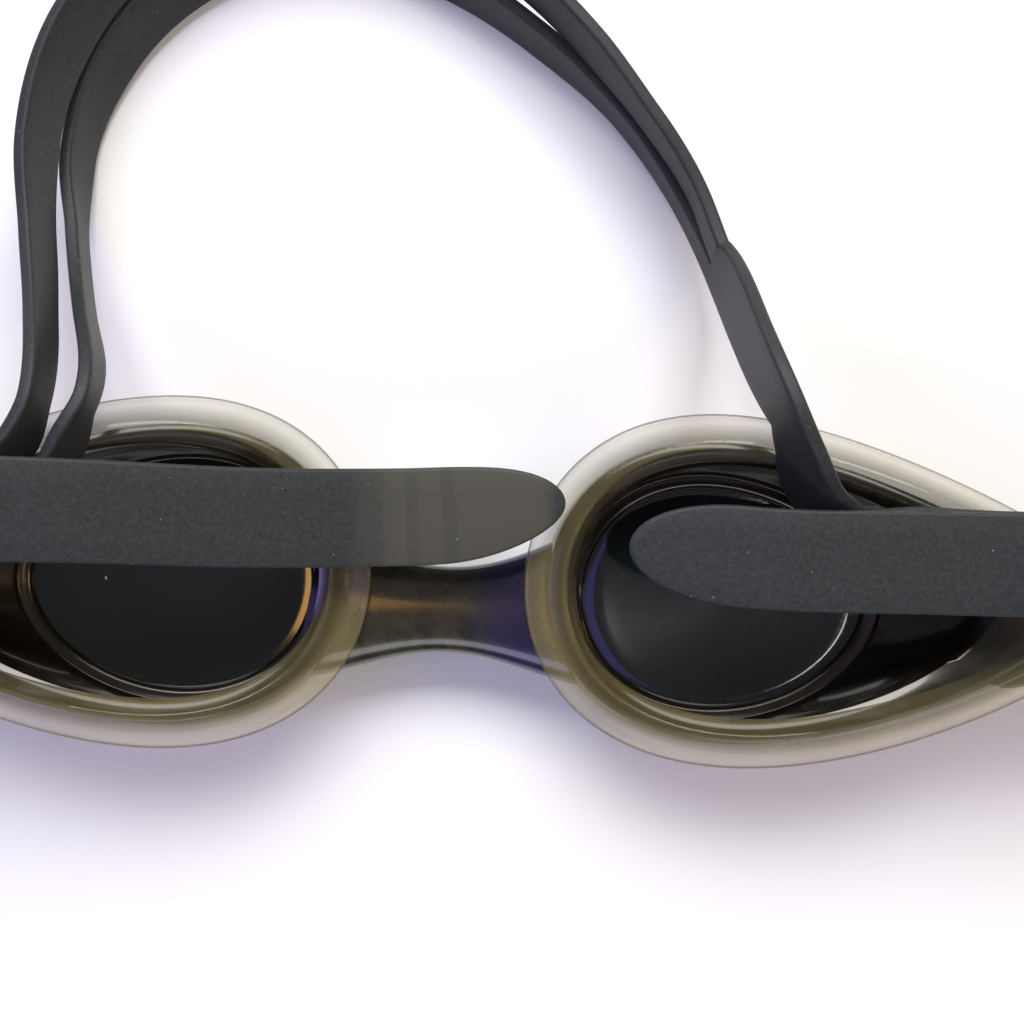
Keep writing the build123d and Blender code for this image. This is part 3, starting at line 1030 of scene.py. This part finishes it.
class Band:
    """A flat band with rounded edges that follows a smooth line through its bends."""

    def __init__(
        self, bends: Sequence[Bend], start: Sequence[float], end: Sequence[float], thick: float
    ) -> None:
        """Solves the smooth line.

        Args:
            bends: The places it goes through.
            start: Its direction at the first bend.
            end: Its direction at the last.
            thick: The band's thickness in millimetres.
        """
        self.bends = list(bends)
        self.thick = thick
        self.places = np.array([(b.x, b.y, b.z) for b in bends], float)
        gaps = np.linalg.norm(np.diff(self.places, axis=0), axis=1)
        self.at = np.concatenate([[0.0], np.cumsum(gaps)])
        last = len(bends) - 1
        system, goal = np.eye(last + 1), np.zeros((last + 1, 3))
        goal[0] = np.array(start) / np.linalg.norm(start)
        goal[last] = np.array(end) / np.linalg.norm(end)
        for i in range(1, last):
            before, after = 1 / gaps[i - 1], 1 / gaps[i]
            system[i, i - 1 : i + 2] = (before, 2 * (before + after), after)
            goal[i] = 3 * (
                (self.places[i] - self.places[i - 1]) * before**2
                + (self.places[i + 1] - self.places[i]) * after**2
            )
        self.slopes = np.linalg.solve(system, goal)

    @property
    def length(self) -> float:
        """The band's length along its chords, in millimetres."""
        return float(self.at[-1])

    def state(self, along: float) -> tuple[Vector, Vector, float, float]:
        """The band at a distance along it.

        Args:
            along: Millimetres from its start.

        Returns:
            Place, direction of run, roll in degrees and width.
        """
        i = int(np.clip(np.searchsorted(self.at, along, side="right") - 1, 0, len(self.at) - 2))
        gap = self.at[i + 1] - self.at[i]
        s = (along - self.at[i]) / gap
        p, q = self.places[i], self.places[i + 1]
        m, n = self.slopes[i] * gap, self.slopes[i + 1] * gap
        place = (
            p * (2 * s**3 - 3 * s**2 + 1)
            + m * (s**3 - 2 * s**2 + s)
            + q * (3 * s**2 - 2 * s**3)
            + n * (s**3 - s**2)
        )
        run = p * (6 * s**2 - 6 * s) + m * (3 * s**2 - 4 * s + 1) + q * (6 * s - 6 * s**2)
        run = Vector(run + n * (3 * s**2 - 2 * s)).normalized()
        eased = s * s * (3 - 2 * s)
        first, second = self.bends[i], self.bends[i + 1]
        roll = first.roll + (second.roll - first.roll) * eased
        return Vector(place), run, roll, first.width + (second.width - first.width) * eased

    def ways(self, along: float) -> tuple[Vector, Vector, Vector]:
        """The band's own directions at a distance along it.

        Args:
            along: Millimetres from its start.

        Returns:
            Place, direction of the width and direction of the thickness.
        """
        place, run, roll, _ = self.state(along)
        outward = run.cross(UP).normalized()
        upward = outward.cross(run).normalized()
        angle = math.radians(roll)
        width_way = outward * math.cos(angle) + upward * math.sin(angle)
        return place, width_way, run.cross(width_way)

    def ring(self, along: float, width: float | None = None, below: float = 0.0) -> Ring:
        """The band's rounded cross-section.

        Args:
            along: Millimetres from its start.
            width: The width there, or None for the band's own.
            below: Extra thickness on the far face.

        Returns:
            The ring's points.
        """
        place, width_way, thick_way = self.ways(along)
        width = self.state(along)[3] if width is None else width
        return section(place, width_way, thick_way, width, self.thick, below)


def section(
    place: Vector,
    width_way: Vector,
    thick_way: Vector,
    width: float,
    thick: float,
    below: float = 0.0,
) -> Ring:
    """A flat rounded section.

    Args:
        place: Its middle.
        width_way: Direction of its width.
        thick_way: Direction of its thickness.
        width: Width in millimetres.
        thick: Thickness.
        below: Extra thickness towards thick_way.

    Returns:
        Its points, all the way round.
    """
    corner = min(0.42, 0.45 * thick, 0.45 * width)
    ring = []
    for quarter, (sx, sy) in enumerate(((1, 1), (-1, 1), (-1, -1), (1, -1))):
        extra = below if sy > 0 else 0.0
        cx = sx * (width / 2 - corner)
        cy = sy * (thick / 2 + extra - corner)
        for k in range(5):
            angle = math.pi / 2 * (quarter + k / 4)
            across = cx + corner * math.cos(angle)
            ring.append(place + width_way * across + thick_way * (cy + corner * math.sin(angle)))
        if quarter in (0, 2):
            for share in (0.25, 0.5, 0.75):
                across = sx * (width / 2 - corner) * (1 - 2 * share)
                deep = sy * (thick / 2 + extra)
                ring.append(place + width_way * across + thick_way * deep)
    return ring


@dataclass(frozen=True)
class Buckle:
    """One temple buckle: swivel body, strap bar, push lever, spring and their pins."""

    side: Side
    fold: float
    pivot_x: float = PIVOT_X
    pivot_y: float = PIVOT_Y
    pivot_z: float = PIVOT_Z
    bar_distance: float = 8.0
    lever_distance: float = 10.4
    lever_rise: float = 4.4
    bar_radius: float = 1.3
    strap_thick: float = STRAP_THICKNESS
    wrap_gap: float = 0.05
    knee_distance: float = 4.4
    nose_distance: float = 7.2
    swivel_radius: float = 1.1
    swivel_length: float = 12.2
    lever_pin_radius: float = 0.7
    rod_length: float = 14.8
    grip_radius: float = 0.42
    grip_length: float = 8.6
    grip_rise: float = 0.62
    grip_slope: float = 0.06
    grip_lift: float = 0.25
    grip_places: tuple[float, ...] = (12.4, 13.5, 14.6)

    @property
    def bar(self) -> tuple[float, float]:
        """The strap bar's axis in X and Z, on the right side."""
        return self.spot(self.bar_distance, 0.0)

    @property
    def wrap(self) -> float:
        """Radius of the strap's middle round the bar."""
        return self.bar_radius + self.wrap_gap + self.strap_thick / 2

    def spot(self, inward: float, away: float) -> tuple[float, float]:
        """A place in the buckle's own plane.

        Args:
            inward: Distance from the swivel pin along the buckle.
            away: Distance off the buckle, away from the table.

        Returns:
            Its X and Z on the right side.
        """
        angle = math.radians(self.fold)
        x = self.pivot_x - inward * math.cos(angle) + away * math.sin(angle)
        return x, self.pivot_z + inward * math.sin(angle) + away * math.cos(angle)

    def grips(self) -> list[bpy.types.Object]:
        """Three low thumb ridges on the lever's pad.

        Returns:
            The ridges.
        """
        made = []
        angle = math.radians(self.fold)
        for k, inward in enumerate(self.grip_places):
            x, z = self.spot(inward, self.lever_rise + self.grip_rise + self.grip_slope * k)
            bpy.ops.object.select_all(action="DESELECT")
            bpy.ops.mesh.primitive_cylinder_add(
                vertices=20,
                radius=self.grip_radius * MM,
                depth=self.grip_length * MM,
                rotation=(math.pi / 2, 0, 0),
            )
            ridge = bpy.context.active_object
            ridge.name = ridge.data.name = f"grip_{self.side.word}_{k}"
            ridge.location = Vector((self.side.value * x, self.pivot_y, z + self.grip_lift)) * MM
            ridge.rotation_euler.y = -self.side.value * angle
            bpy.ops.object.transform_apply(location=True, rotation=True, scale=True)
            apply_modifier(ridge, "BEVEL", width=0.14 * MM, segments=2, limit_method="ANGLE")
            made.append(ridge)
        return made

    def build(self) -> None:
        """Builds and dresses the buckle's pieces."""
        word, sign = self.side.word, self.side.value
        body, lever_body = f"buckle_{word}", f"lever_{word}"
        place_on(traced(f"buckle_{word}", f"swivel_buckle_{word}", 0.28), ACETAL, body, body)
        lever = traced(f"release_lever_{word}", f"push_lever_{word}", 0.22)
        join(lever, self.grips())
        place_on(lever, ACETAL, lever_body, f"release_lever_{word}")
        spring = traced(f"lever_spring_{word}", f"leaf_spring_{word}", 0.05)
        WARDROBE.dress(spring, STRIP)
        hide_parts(f"lever_spring_{word}")
        ends = []
        for inward in (self.knee_distance, self.nose_distance):
            x, z = self.spot(inward, self.lever_rise + 1.0)
            ends.append((sign * x * MM, self.pivot_y * MM, z * MM))
        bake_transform(spring, body, lever_body, start=ends[0], end=ends[1])
        knuckle = (self.lever_distance, self.lever_rise)
        rods = (
            ("swivel_pin", "root", (0.0, 0.0), self.swivel_radius, self.swivel_length),
            ("strap_bar", body, (self.bar_distance, 0.0), self.bar_radius, self.rod_length),
            ("lever_pin", body, knuckle, self.lever_pin_radius, self.rod_length),
        )
        for node, rod_body, place, radius, length in rods:
            x, z = self.spot(*place)
            rod = pin(f"turned_{node}_{word}", sign * x, self.pivot_y, z, radius, length)
            place_on(rod, STEEL, rod_body, f"{node}_{word}")


@dataclass(frozen=True)
class Temple:
    """The wing that carries the buckle out from the cup, with its two ears."""

    side: Side
    pivot_x: float = PIVOT_X
    pivot_y: float = PIVOT_Y
    pivot_z: float = PIVOT_Z
    wing_thickness: float = 2.2
    wing_sections: int = 40
    ear_radius: float = 3.0
    ear_width: float = 2.6
    ear_middle: float = 4.8
    lug_width: float = 12.2

    def build(self) -> None:
        """Builds the wing and ears as one piece and dresses it."""
        sign = self.side.value
        bends = [
            Bend(57.9, -1.6, 7.0, 0, 10.5),
            Bend(61.6, -1.5, 7.8, 0, 17.0),
            Bend(65.6, -1.1, 8.9, 0, 20.0),
            Bend(70.0, -0.2, 10.3, 0, 18.6),
            Bend(75.5, 2.6, 13.2, 0, 14.6),
            Bend(80.0, self.pivot_y, 16.8, 0, self.lug_width),
            Bend(83.4, self.pivot_y, 21.2, 0, self.lug_width),
        ]
        plate = Band(bends, (1, 0, 0.2), (0.5, 0, 1), self.wing_thickness)
        steps = range(self.wing_sections + 1)
        rings = [plate.ring(plate.length * k / self.wing_sections) for k in steps]
        wing = grow(f"temple_wing_{self.side.word}", mirrored(rings, self.side), capped=True)
        ears = []
        for way in (-1, 1):
            bpy.ops.object.select_all(action="DESELECT")
            bpy.ops.mesh.primitive_cylinder_add(
                vertices=48, radius=self.ear_radius * MM, depth=self.ear_width * MM
            )
            ear = bpy.context.active_object
            ear.name = ear.data.name = f"ear_{self.side.word}_{way}"
            ear.rotation_euler.x = math.pi / 2
            ear_y = self.pivot_y + way * self.ear_middle
            ear.location = Vector((sign * self.pivot_x, ear_y, self.pivot_z)) * MM
            bpy.ops.object.transform_apply(location=True, rotation=True, scale=True)
            apply_modifier(ear, "BEVEL", width=0.35 * MM, segments=3, limit_method="ANGLE")
            ears.append(ear)
        join(wing, ears)
        place_on(wing, PEARL, "root", f"frame_{self.side.word}")


@dataclass(frozen=True)
class Bridge:
    """The saddle between the cups: slim in the middle, flared into both nose walls."""

    waist: float = 10.2
    depth: float = 4.4
    root: float = 19.4
    root_depth: float = 7.0
    middle_y: float = -4.1
    middle_z: float = 7.8
    drop: float = 1.0
    reach: float = 14.0
    overlap: float = 2.6
    corner_across: float = 0.62
    corner_up: float = 0.75
    # How strongly, and from where to where, the saddle's right end is painted violet as a painted reflection
    # of the lavender light.
    sheen_share: float = 0.8
    sheen_start: float = 0.1
    sheen_spread: float = 0.4
    sections: int = 48

    def wall_x(self, wall: Sequence[tuple[float, float]], y: float) -> float:
        """Where the bridge ends inside the cup's nose wall.

        Args:
            wall: Points of the right cup's nose wall.
            y: Place up the face.

        Returns:
            The end's X on the right side.
        """
        return min(wall, key=lambda point: abs(point[1] - y))[0] + self.overlap

    def build(self) -> None:
        """Builds and dresses the bridge."""
        outline = EyeCup(Side.RIGHT).wall_top
        wall = [point for point in outline.points(240) if point[0] < outline.centre_x]
        rings, painted_sheen = [], []
        for k in range(self.sections + 1):
            share = -1 + 2 * k / self.sections
            # Painted sheen: the saddle turns violet towards its right end.
            painted_sheen.append(self.sheen_share * held((share - self.sheen_start) / self.sheen_spread))
            flare = share * share
            high = self.waist + (self.root - self.waist) * flare
            deep = self.depth + (self.root_depth - self.depth) * flare
            middle = Vector((share * self.reach, self.middle_y, self.middle_z - self.drop * flare))
            ring = []
            for i in range(BRIDGE_POINTS):
                angle = 2 * math.pi * i / BRIDGE_POINTS
                c, s = math.cos(angle), math.sin(angle)
                across = math.copysign(abs(c) ** self.corner_across, c) * high / 2
                up = math.copysign(abs(s) ** self.corner_up, s) * deep / 2
                beyond = share * flare * (self.wall_x(wall, middle.y + across) - self.reach)
                ring.append(middle + Vector((beyond, across, up)))
            rings.append(ring)
        piece = grow("saddle_bridge", rings, capped=True, marks={"painted_sheen": painted_sheen})
        place_on(piece, PAINTED_SHEEN, "root", "nose_bridge")


# Which way the strap runs where its slit begins and ends.
SLIT_RIGHT = (-0.36, 0.91, -0.2)
SLIT_LEFT = (-0.98, -0.05, 0.19)


@dataclass(frozen=True)
class Strap:
    """The silicone head strap: two free tails, two arms and the two strands of its loop."""

    right: Buckle
    left: Buckle
    width: float = 11.0
    strand: float = 6.0
    thick: float = STRAP_THICKNESS
    right_tip: float = 12.0
    left_tip: float = 15.5
    # Where each tail is painted paler as the table's light shining through it, and how much the ribs dim
    # that painted light.
    right_web: tuple[float, float] = (0.0, 0.0)
    left_web: tuple[float, float] = (1.0, 25.0)
    backlight_rise: float = 1.5
    backlight_fade: float = 6.0
    rib_shade: float = 0.25
    slit: float = 0.4
    waist: float = 0.85
    tip_width: float = 0.9
    tip_power: float = 2.1
    rib_pitch: float = 4.2
    rib_width: float = 1.3
    rib_start: float = 13.2
    rib_height: float = 0.35
    rib_fade: float = 0.3
    rib_count: int = 7
    cup_x: float = CUP_MIDDLE
    rim_y: float = 19.6
    rim_gap: float = 0.8

    def rim_height(self, x: float) -> float:
        """Height of the seal flange above the table."""
        return SEAL_NOSE_HEIGHT + (abs(x) - NOSE_GAP / 2) * math.tan(math.radians(SEAL_TILT))

    def near(
        self, sign: int, along: float, up: float, z: float, roll: float, width: float
    ) -> Bend:
        """A bend placed from the middle of a cup and the top of its seal."""
        return Bend(sign * (self.cup_x + along), self.rim_y + up, z, roll, width)

    def over(self, sign: int, along: float, up: float, roll: float, width: float) -> Bend:
        """A bend where the band stands on edge on the seal."""
        x = self.cup_x + along
        z = self.rim_height(x) + self.rim_gap + width / 2 * math.sin(math.radians(roll))
        return Bend(sign * x, self.rim_y + up, z, roll, width)

    def tail(self, buckle: Buckle, bends: Sequence[Bend], tip: float, web: Sequence[float]) -> None:
        """A free end: round the bar, along over the cup and out to a rounded point.

        Args:
            buckle: The buckle that holds it.
            bends: Its bends after the bar.
            tip: Length of the rounded point.
            web: Distances from the point between which the band is painted paler, as light from the table
                shining through it.
        """
        sign, word = buckle.side.value, buckle.side.word
        bar_x, bar_z = buckle.bar
        middle_y = buckle.pivot_y
        rings, backlight_shares = [], []
        width_way = Vector((0, sign, 0))
        for k in range(17):
            angle = math.radians(-90 + 180 * k / 16)
            out = Vector((sign * math.cos(angle), 0, math.sin(angle)))
            place = Vector((sign * bar_x, middle_y, bar_z)) + out * buckle.wrap
            rings.append(section(place, width_way, -out, self.width, self.thick))
            backlight_shares.append(0.0)
        start = Bend(sign * bar_x, middle_y, bar_z + buckle.wrap, 0, self.width)
        band = Band([start, *bends], (-sign, 0, 0), (-sign, 0, -0.03), self.thick)
        for along in self.tail_stops(band.length, tip):
            left_over = band.length - along
            width = self.width
            if left_over < tip:
                share = 1 - left_over / tip
                rounded = math.sqrt(max(0.0, 1 - share**self.tip_power))
                width = max(self.width * rounded, self.tip_width)
            place_in_pitch = (left_over - self.rib_start) / self.rib_pitch
            nearest = round(place_in_pitch)
            off = abs(place_in_pitch - nearest) * self.rib_pitch
            fall = held((off - self.rib_width / 2) / self.rib_fade)
            rise = 1 - fall if 0 <= nearest < self.rib_count else 0.0
            rings.append(band.ring(along, width, below=self.rib_height * rise))
            # Painted light: paler between these distances, as the table's light shining through, and dimmed
            # on each rib as painted shade.
            fade = held((left_over - web[0]) / self.backlight_rise)
            fade *= held((web[1] - left_over) / self.backlight_fade)
            backlight_shares.append(fade * (1 - self.rib_shade * rise))
        piece = grow(f"tail_band_{word}", rings, capped=True, marks={"web": backlight_shares})
        place_on(piece, STRAP, f"buckle_{word}", f"strap_tail_{word}")

    def tail_stops(self, length: float, tip: float) -> list[float]:
        """Where the tail's sections stand: close together at ribs and at the point.

        Args:
            length: The tail's length.
            tip: Length of its rounded point.

        Returns:
            Distances from the bar, in order.
        """
        stops = {round(length * k / 60, 3) for k in range(1, 61) if length * k / 60 < length - tip}
        crest = self.rib_width / 2
        foot = crest + self.rib_fade
        for number in range(self.rib_count):
            middle = length - self.rib_start - number * self.rib_pitch
            for off in (-foot, -crest, crest, foot):
                stops.add(round(middle + off, 3))
        for k in range(19):
            stops.add(round(length - tip + tip * math.sin(math.pi / 2 * k / 18), 3))
        kept: list[float] = []
        for stop in sorted(stops):
            if 0 < stop <= length + 1e-6 and (not kept or stop - kept[-1] > 0.12):
                kept.append(min(stop, length))
        return kept

    def plain(self, name: str, band: Band, node: str, count: int) -> bpy.types.Object:
        """A stretch of band with no ribs, dressed and standing for its CAD node.

        Args:
            name: The piece's name.
            band: The band's path.
            node: The CAD node that it stands for.
            count: Number of sections.

        Returns:
            The piece, which rides on nothing yet.
        """
        rings = [band.ring(band.length * k / count) for k in range(count + 1)]
        piece = grow(name, rings, capped=True, marks={"web": [0.0] * (count + 1)})
        WARDROBE.dress(piece, STRAP)
        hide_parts(node)
        LOG.info("%s: %d faces", name, len(piece.data.polygons))
        return piece

    def split(self, arm: Band, along: float, offset: float, width: float) -> Bend:
        """Where a strand leaves an arm.

        Args:
            arm: The arm.
            along: Distance along it.
            offset: The strand's distance from the arm's middle line.
            width: The strand's width.

        Returns:
            The strand's first or last bend.
        """
        place, width_way, _ = arm.ways(along)
        spot = place + width_way * offset
        return Bend(spot.x, spot.y, spot.z, arm.state(along)[2], width)

    def arms(self) -> tuple[Band, Band]:
        """The two standing parts between a buckle and the strap's slit.

        Returns:
            The right and the left arm.
        """
        right_x, right_z = self.right.bar
        left_x, left_z = self.left.bar
        near, full, waist = self.near, self.width, self.waist * self.width
        out, mid, inner = self.cup_x + 29.2, self.cup_x + 20.0, self.cup_x + 12.0
        right = Band(
            [
                Bend(right_x, self.right.pivot_y, right_z - self.right.wrap, 0, full),
                Bend(out, 4.4, self.rim_height(out) + 1.6, 0, full),
                Bend(mid, 4.2, self.rim_height(mid) + 1.4, 0, full),
                Bend(inner, 4.4, self.rim_height(inner) - 0.1, 7, full),
                near(1, 4.6, -13.2, 16.2, 46, waist),
                near(1, 0.6, -9.7, 17.2, 74, 10.0),
                near(1, -3.0, -5.2, 21.8, 85, 10.2),
                near(1, -5.4, -0.6, 23.7, 88.5, 10.4),
                near(1, -7.4, 5.4, 20.0, 90, full),
                near(1, -9.1, 13.7, 12.2, 90, full),
                near(1, -10.6, 18.9, 8.0, 90, full),
            ],
            (-1, 0, 0),
            SLIT_RIGHT,
            self.thick,
        )
        left = Band(
            [
                Bend(-self.cup_x - 16.6, 5.6, 24.8, 8, full),
                Bend(-self.cup_x - 24.6, 5.2, 26.4, 0, full),
                Bend(-self.cup_x - 33.6, 4.7, 28.4, 0, full),
                Bend(-left_x, self.left.pivot_y, left_z - self.left.wrap, 0, full),
            ],
            SLIT_LEFT,
            (-1, 0, 0),
            self.thick,
        )
        return right, left

    def build(self) -> None:
        """Builds and dresses the whole strap."""
        cup, full, end, mid = self.cup_x, self.width, (self.width - self.slit) / 2, self.strand
        near, over = self.near, self.over
        right_tail = [
            Bend(cup + 28.6, 4.3, self.rim_height(PIVOT_X) + 2.5, 0, full),
            Bend(cup + 20.0, 4.0, 25.2, 0, full),
            Bend(cup + 8.0, 3.8, 24.1, 0, full),
            Bend(cup - 8.0, 3.7, 22.9, 0, full),
            Bend(cup - 21.7, 4.4, 21.5, 0, full),
        ]
        left_tail = [
            Bend(-cup - 25.0, 5.2, 32.2, 0, full),
            Bend(-cup - 8.6, 6.1, 29.2, 0, full),
            Bend(-cup + 5.4, 6.2, 24.8, 0, full),
            Bend(-cup + 19.4, 6.1, 20.4, 0, full),
            Bend(-8.0, 6.6, 17.0, 0, full),
            Bend(2.0, 7.4, 16.1, 0, full),
            Bend(13.0, 8.9, 15.9, 0, full),
        ]
        self.tail(self.right, right_tail, self.right_tip, self.right_web)
        self.tail(self.left, left_tail, self.left_tip, self.left_web)
        right, left = self.arms()
        arm = self.plain("arm_band_right", right, "strap_arm_right", 110)
        ends = [Vector((x, 4.4, 24.0)) * MM for x in (75.5, 64.0)]
        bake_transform(arm, "buckle_right", "root", start=tuple(ends[0]), end=tuple(ends[1]))
        arm = self.plain("arm_band_left", left, "strap_arm_left", 40)
        ends = [Vector((x, 4.4, 28.0)) * MM for x in (-80.5, -70.0)]
        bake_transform(arm, "buckle_left", "root", start=tuple(ends[0]), end=tuple(ends[1]))
        shift = full / 2 - end / 2
        upper = [
            self.split(right, right.length, shift, end),
            near(1, -13.2, 25.7, 10.0, 91, end),
            near(1, -19.2, 34.9, 9.9, 89, mid),
            near(1, -27.0, 44.1, 9.9, 82, 6.4),
            Bend(-21.0, self.rim_y + 61.9, 10.2, 64, 7.4),
            near(-1, 4.6, 43.4, 10.7, 65, 7.2),
            near(-1, 8.3, 29.6, 11.2, 70, 6.8),
            near(-1, 7.2, 17.6, 13.2, 76, mid),
            near(-1, 5.0, 7.8, 18.0, 78, end),
            over(-1, 3.9, -1.2, 80, end),
            near(-1, 5.5, -6.6, 23.7, 62, end),
            near(-1, 10.4, -10.6, 24.4, 25, end),
            self.split(left, 0.0, shift, end),
        ]
        lower = [
            self.split(right, right.length, -shift, end),
            near(1, -14.4, 26.7, 3.9, 91, end),
            near(1, -21.6, 36.8, 3.5, 90, mid),
            near(1, -32.8, 46.5, 3.6, 84, 6.8),
            Bend(-20.0, self.rim_y + 57.4, 3.9, 62, 7.4),
            near(-1, 1.4, 42.5, 3.9, 66, 7.2),
            near(-1, 5.7, 29.5, 3.9, 78, 6.6),
            near(-1, 4.7, 19.2, 6.2, 93, mid),
            near(-1, 1.3, 8.6, 13.2, 95, end),
            over(-1, -1.4, -1.2, 90, end),
            near(-1, 0.3, -6.4, 22.8, 66, end),
            near(-1, 6.6, -15.8, 22.0, 25, end),
            self.split(left, 0.0, -shift, end),
        ]
        for name, bends in (("upper_strand", upper), ("lower_strand", lower)):
            band = Band(bends, SLIT_RIGHT, SLIT_LEFT, self.thick)
            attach(self.plain(f"{name}_band", band, f"strap_{name}", 220), "root")


# ---------------------------------------------------------------- stage


@dataclass(frozen=True)
class Softbox:
    """A rectangular studio light aimed at the goggles. Distances in metres."""

    name: str
    place: tuple[float, float, float]
    aim: tuple[float, float, float]
    size: tuple[float, float]
    watts: float
    colour: str

    def build(self) -> None:
        """Hangs the light."""
        light = bpy.data.lights.new(self.name, "AREA")
        light.shape = "RECTANGLE"
        light.size, light.size_y = self.size
        light.energy = self.watts
        light.color = linear(self.colour)[:3]
        lamp = bpy.data.objects.new(self.name, light)
        lamp.location = self.place
        way = Vector(self.aim) - Vector(self.place)
        lamp.rotation_euler = way.to_track_quat("-Z", "Y").to_euler()
        bpy.context.scene.collection.objects.link(lamp)


@dataclass(frozen=True)
class Studio:
    """Plain pale table, soft lights and the camera straight above."""

    camera_height: float = 0.162
    camera_y: float = 0.0075
    turn: float = 2.0
    lens: float = 45.35
    shift_x: float = 0.0605
    table_size: float = 3.0
    paper: str = "#F3F3F3"
    sky: str = "#F9F8FF"
    sky_strength: float = 0.16
    softboxes: tuple[Softbox, ...] = (
        Softbox("key", (-0.05, 0.55, 0.6), (0, 0, 0), (0.7, 0.4), 8.5, "#FFFFFF"),
        Softbox("fill", (0.1, -0.6, 0.6), (0, 0, 0), (0.8, 0.3), 2.2, "#F4F2FF"),
        Softbox("lavender", (-0.34, -0.04, 0.4), (0, 0, 0.01), (0.2, 0.2), 0.55, "#A79AFF"),
        Softbox("warm", (0.4, 0.04, 0.3), (0, 0, 0.01), (0.18, 0.2), 0.45, "#FFD58C"),
        Softbox("violet_glow", (0.03, -0.034, 0.46), (0.007, 0, 0), (0.03, 0.03), 0.003, "#8A78FF"),
        Softbox("gold_glow", (-0.016, -0.03, 0.46), (0, 0, 0), (0.02, 0.03), 0.012, "#FFC46A"),
        Softbox("glint", (0.08, -0.017, 0.5), (0.02, 0, 0), (0.02, 0.003), 0.004, "#FFFFFF"),
    )

    def build(self) -> None:
        """Builds the table, world, lights and camera."""
        bpy.ops.object.select_all(action="DESELECT")
        bpy.ops.mesh.primitive_plane_add(size=self.table_size, location=(0, 0, 0))
        table = bpy.context.active_object
        table.name = "table"
        paper = bpy.data.materials.new("white_paper")
        paper.use_nodes = True
        shader = paper.node_tree.nodes["Principled BSDF"]
        shader.inputs["Base Color"].default_value = linear(self.paper)
        shader.inputs["Roughness"].default_value = 0.6
        table.data.materials.append(paper)
        world = bpy.data.worlds.new("room")
        world.use_nodes = True
        sky = world.node_tree.nodes["Background"]
        sky.inputs["Color"].default_value = linear(self.sky)
        sky.inputs["Strength"].default_value = self.sky_strength
        scene = bpy.context.scene
        scene.world = world
        scene.view_settings.view_transform = "Standard"
        for softbox in self.softboxes:
            softbox.build()
        optics = bpy.data.cameras.new("camera")
        optics.lens = self.lens
        optics.sensor_width = 36.0
        optics.shift_x = self.shift_x
        optics.clip_start = 0.01
        camera = bpy.data.objects.new("camera", optics)
        camera.location = (0, self.camera_y, self.camera_height)
        camera.rotation_euler = (0, 0, math.radians(self.turn))
        scene.collection.objects.link(camera)
        scene.camera = camera


def save_sizes() -> None:
    """Updates the view layer; it writes nothing."""
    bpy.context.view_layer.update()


def main() -> None:
    """Builds the goggles and their stage in order."""
    logging.basicConfig(level=logging.INFO, format="%(name)s %(message)s")
    Studio().build()
    folds = {Side.RIGHT: 25.0, Side.LEFT: 75.0}
    buckles = {side: Buckle(side, fold) for side, fold in folds.items()}
    for side in Side:
        EyeCup(side).build()
        Temple(side).build()
        buckles[side].build()
    Bridge().build()
    Strap(buckles[Side.RIGHT], buckles[Side.LEFT]).build()
    save_sizes()


if __name__ == "__main__":
    main()
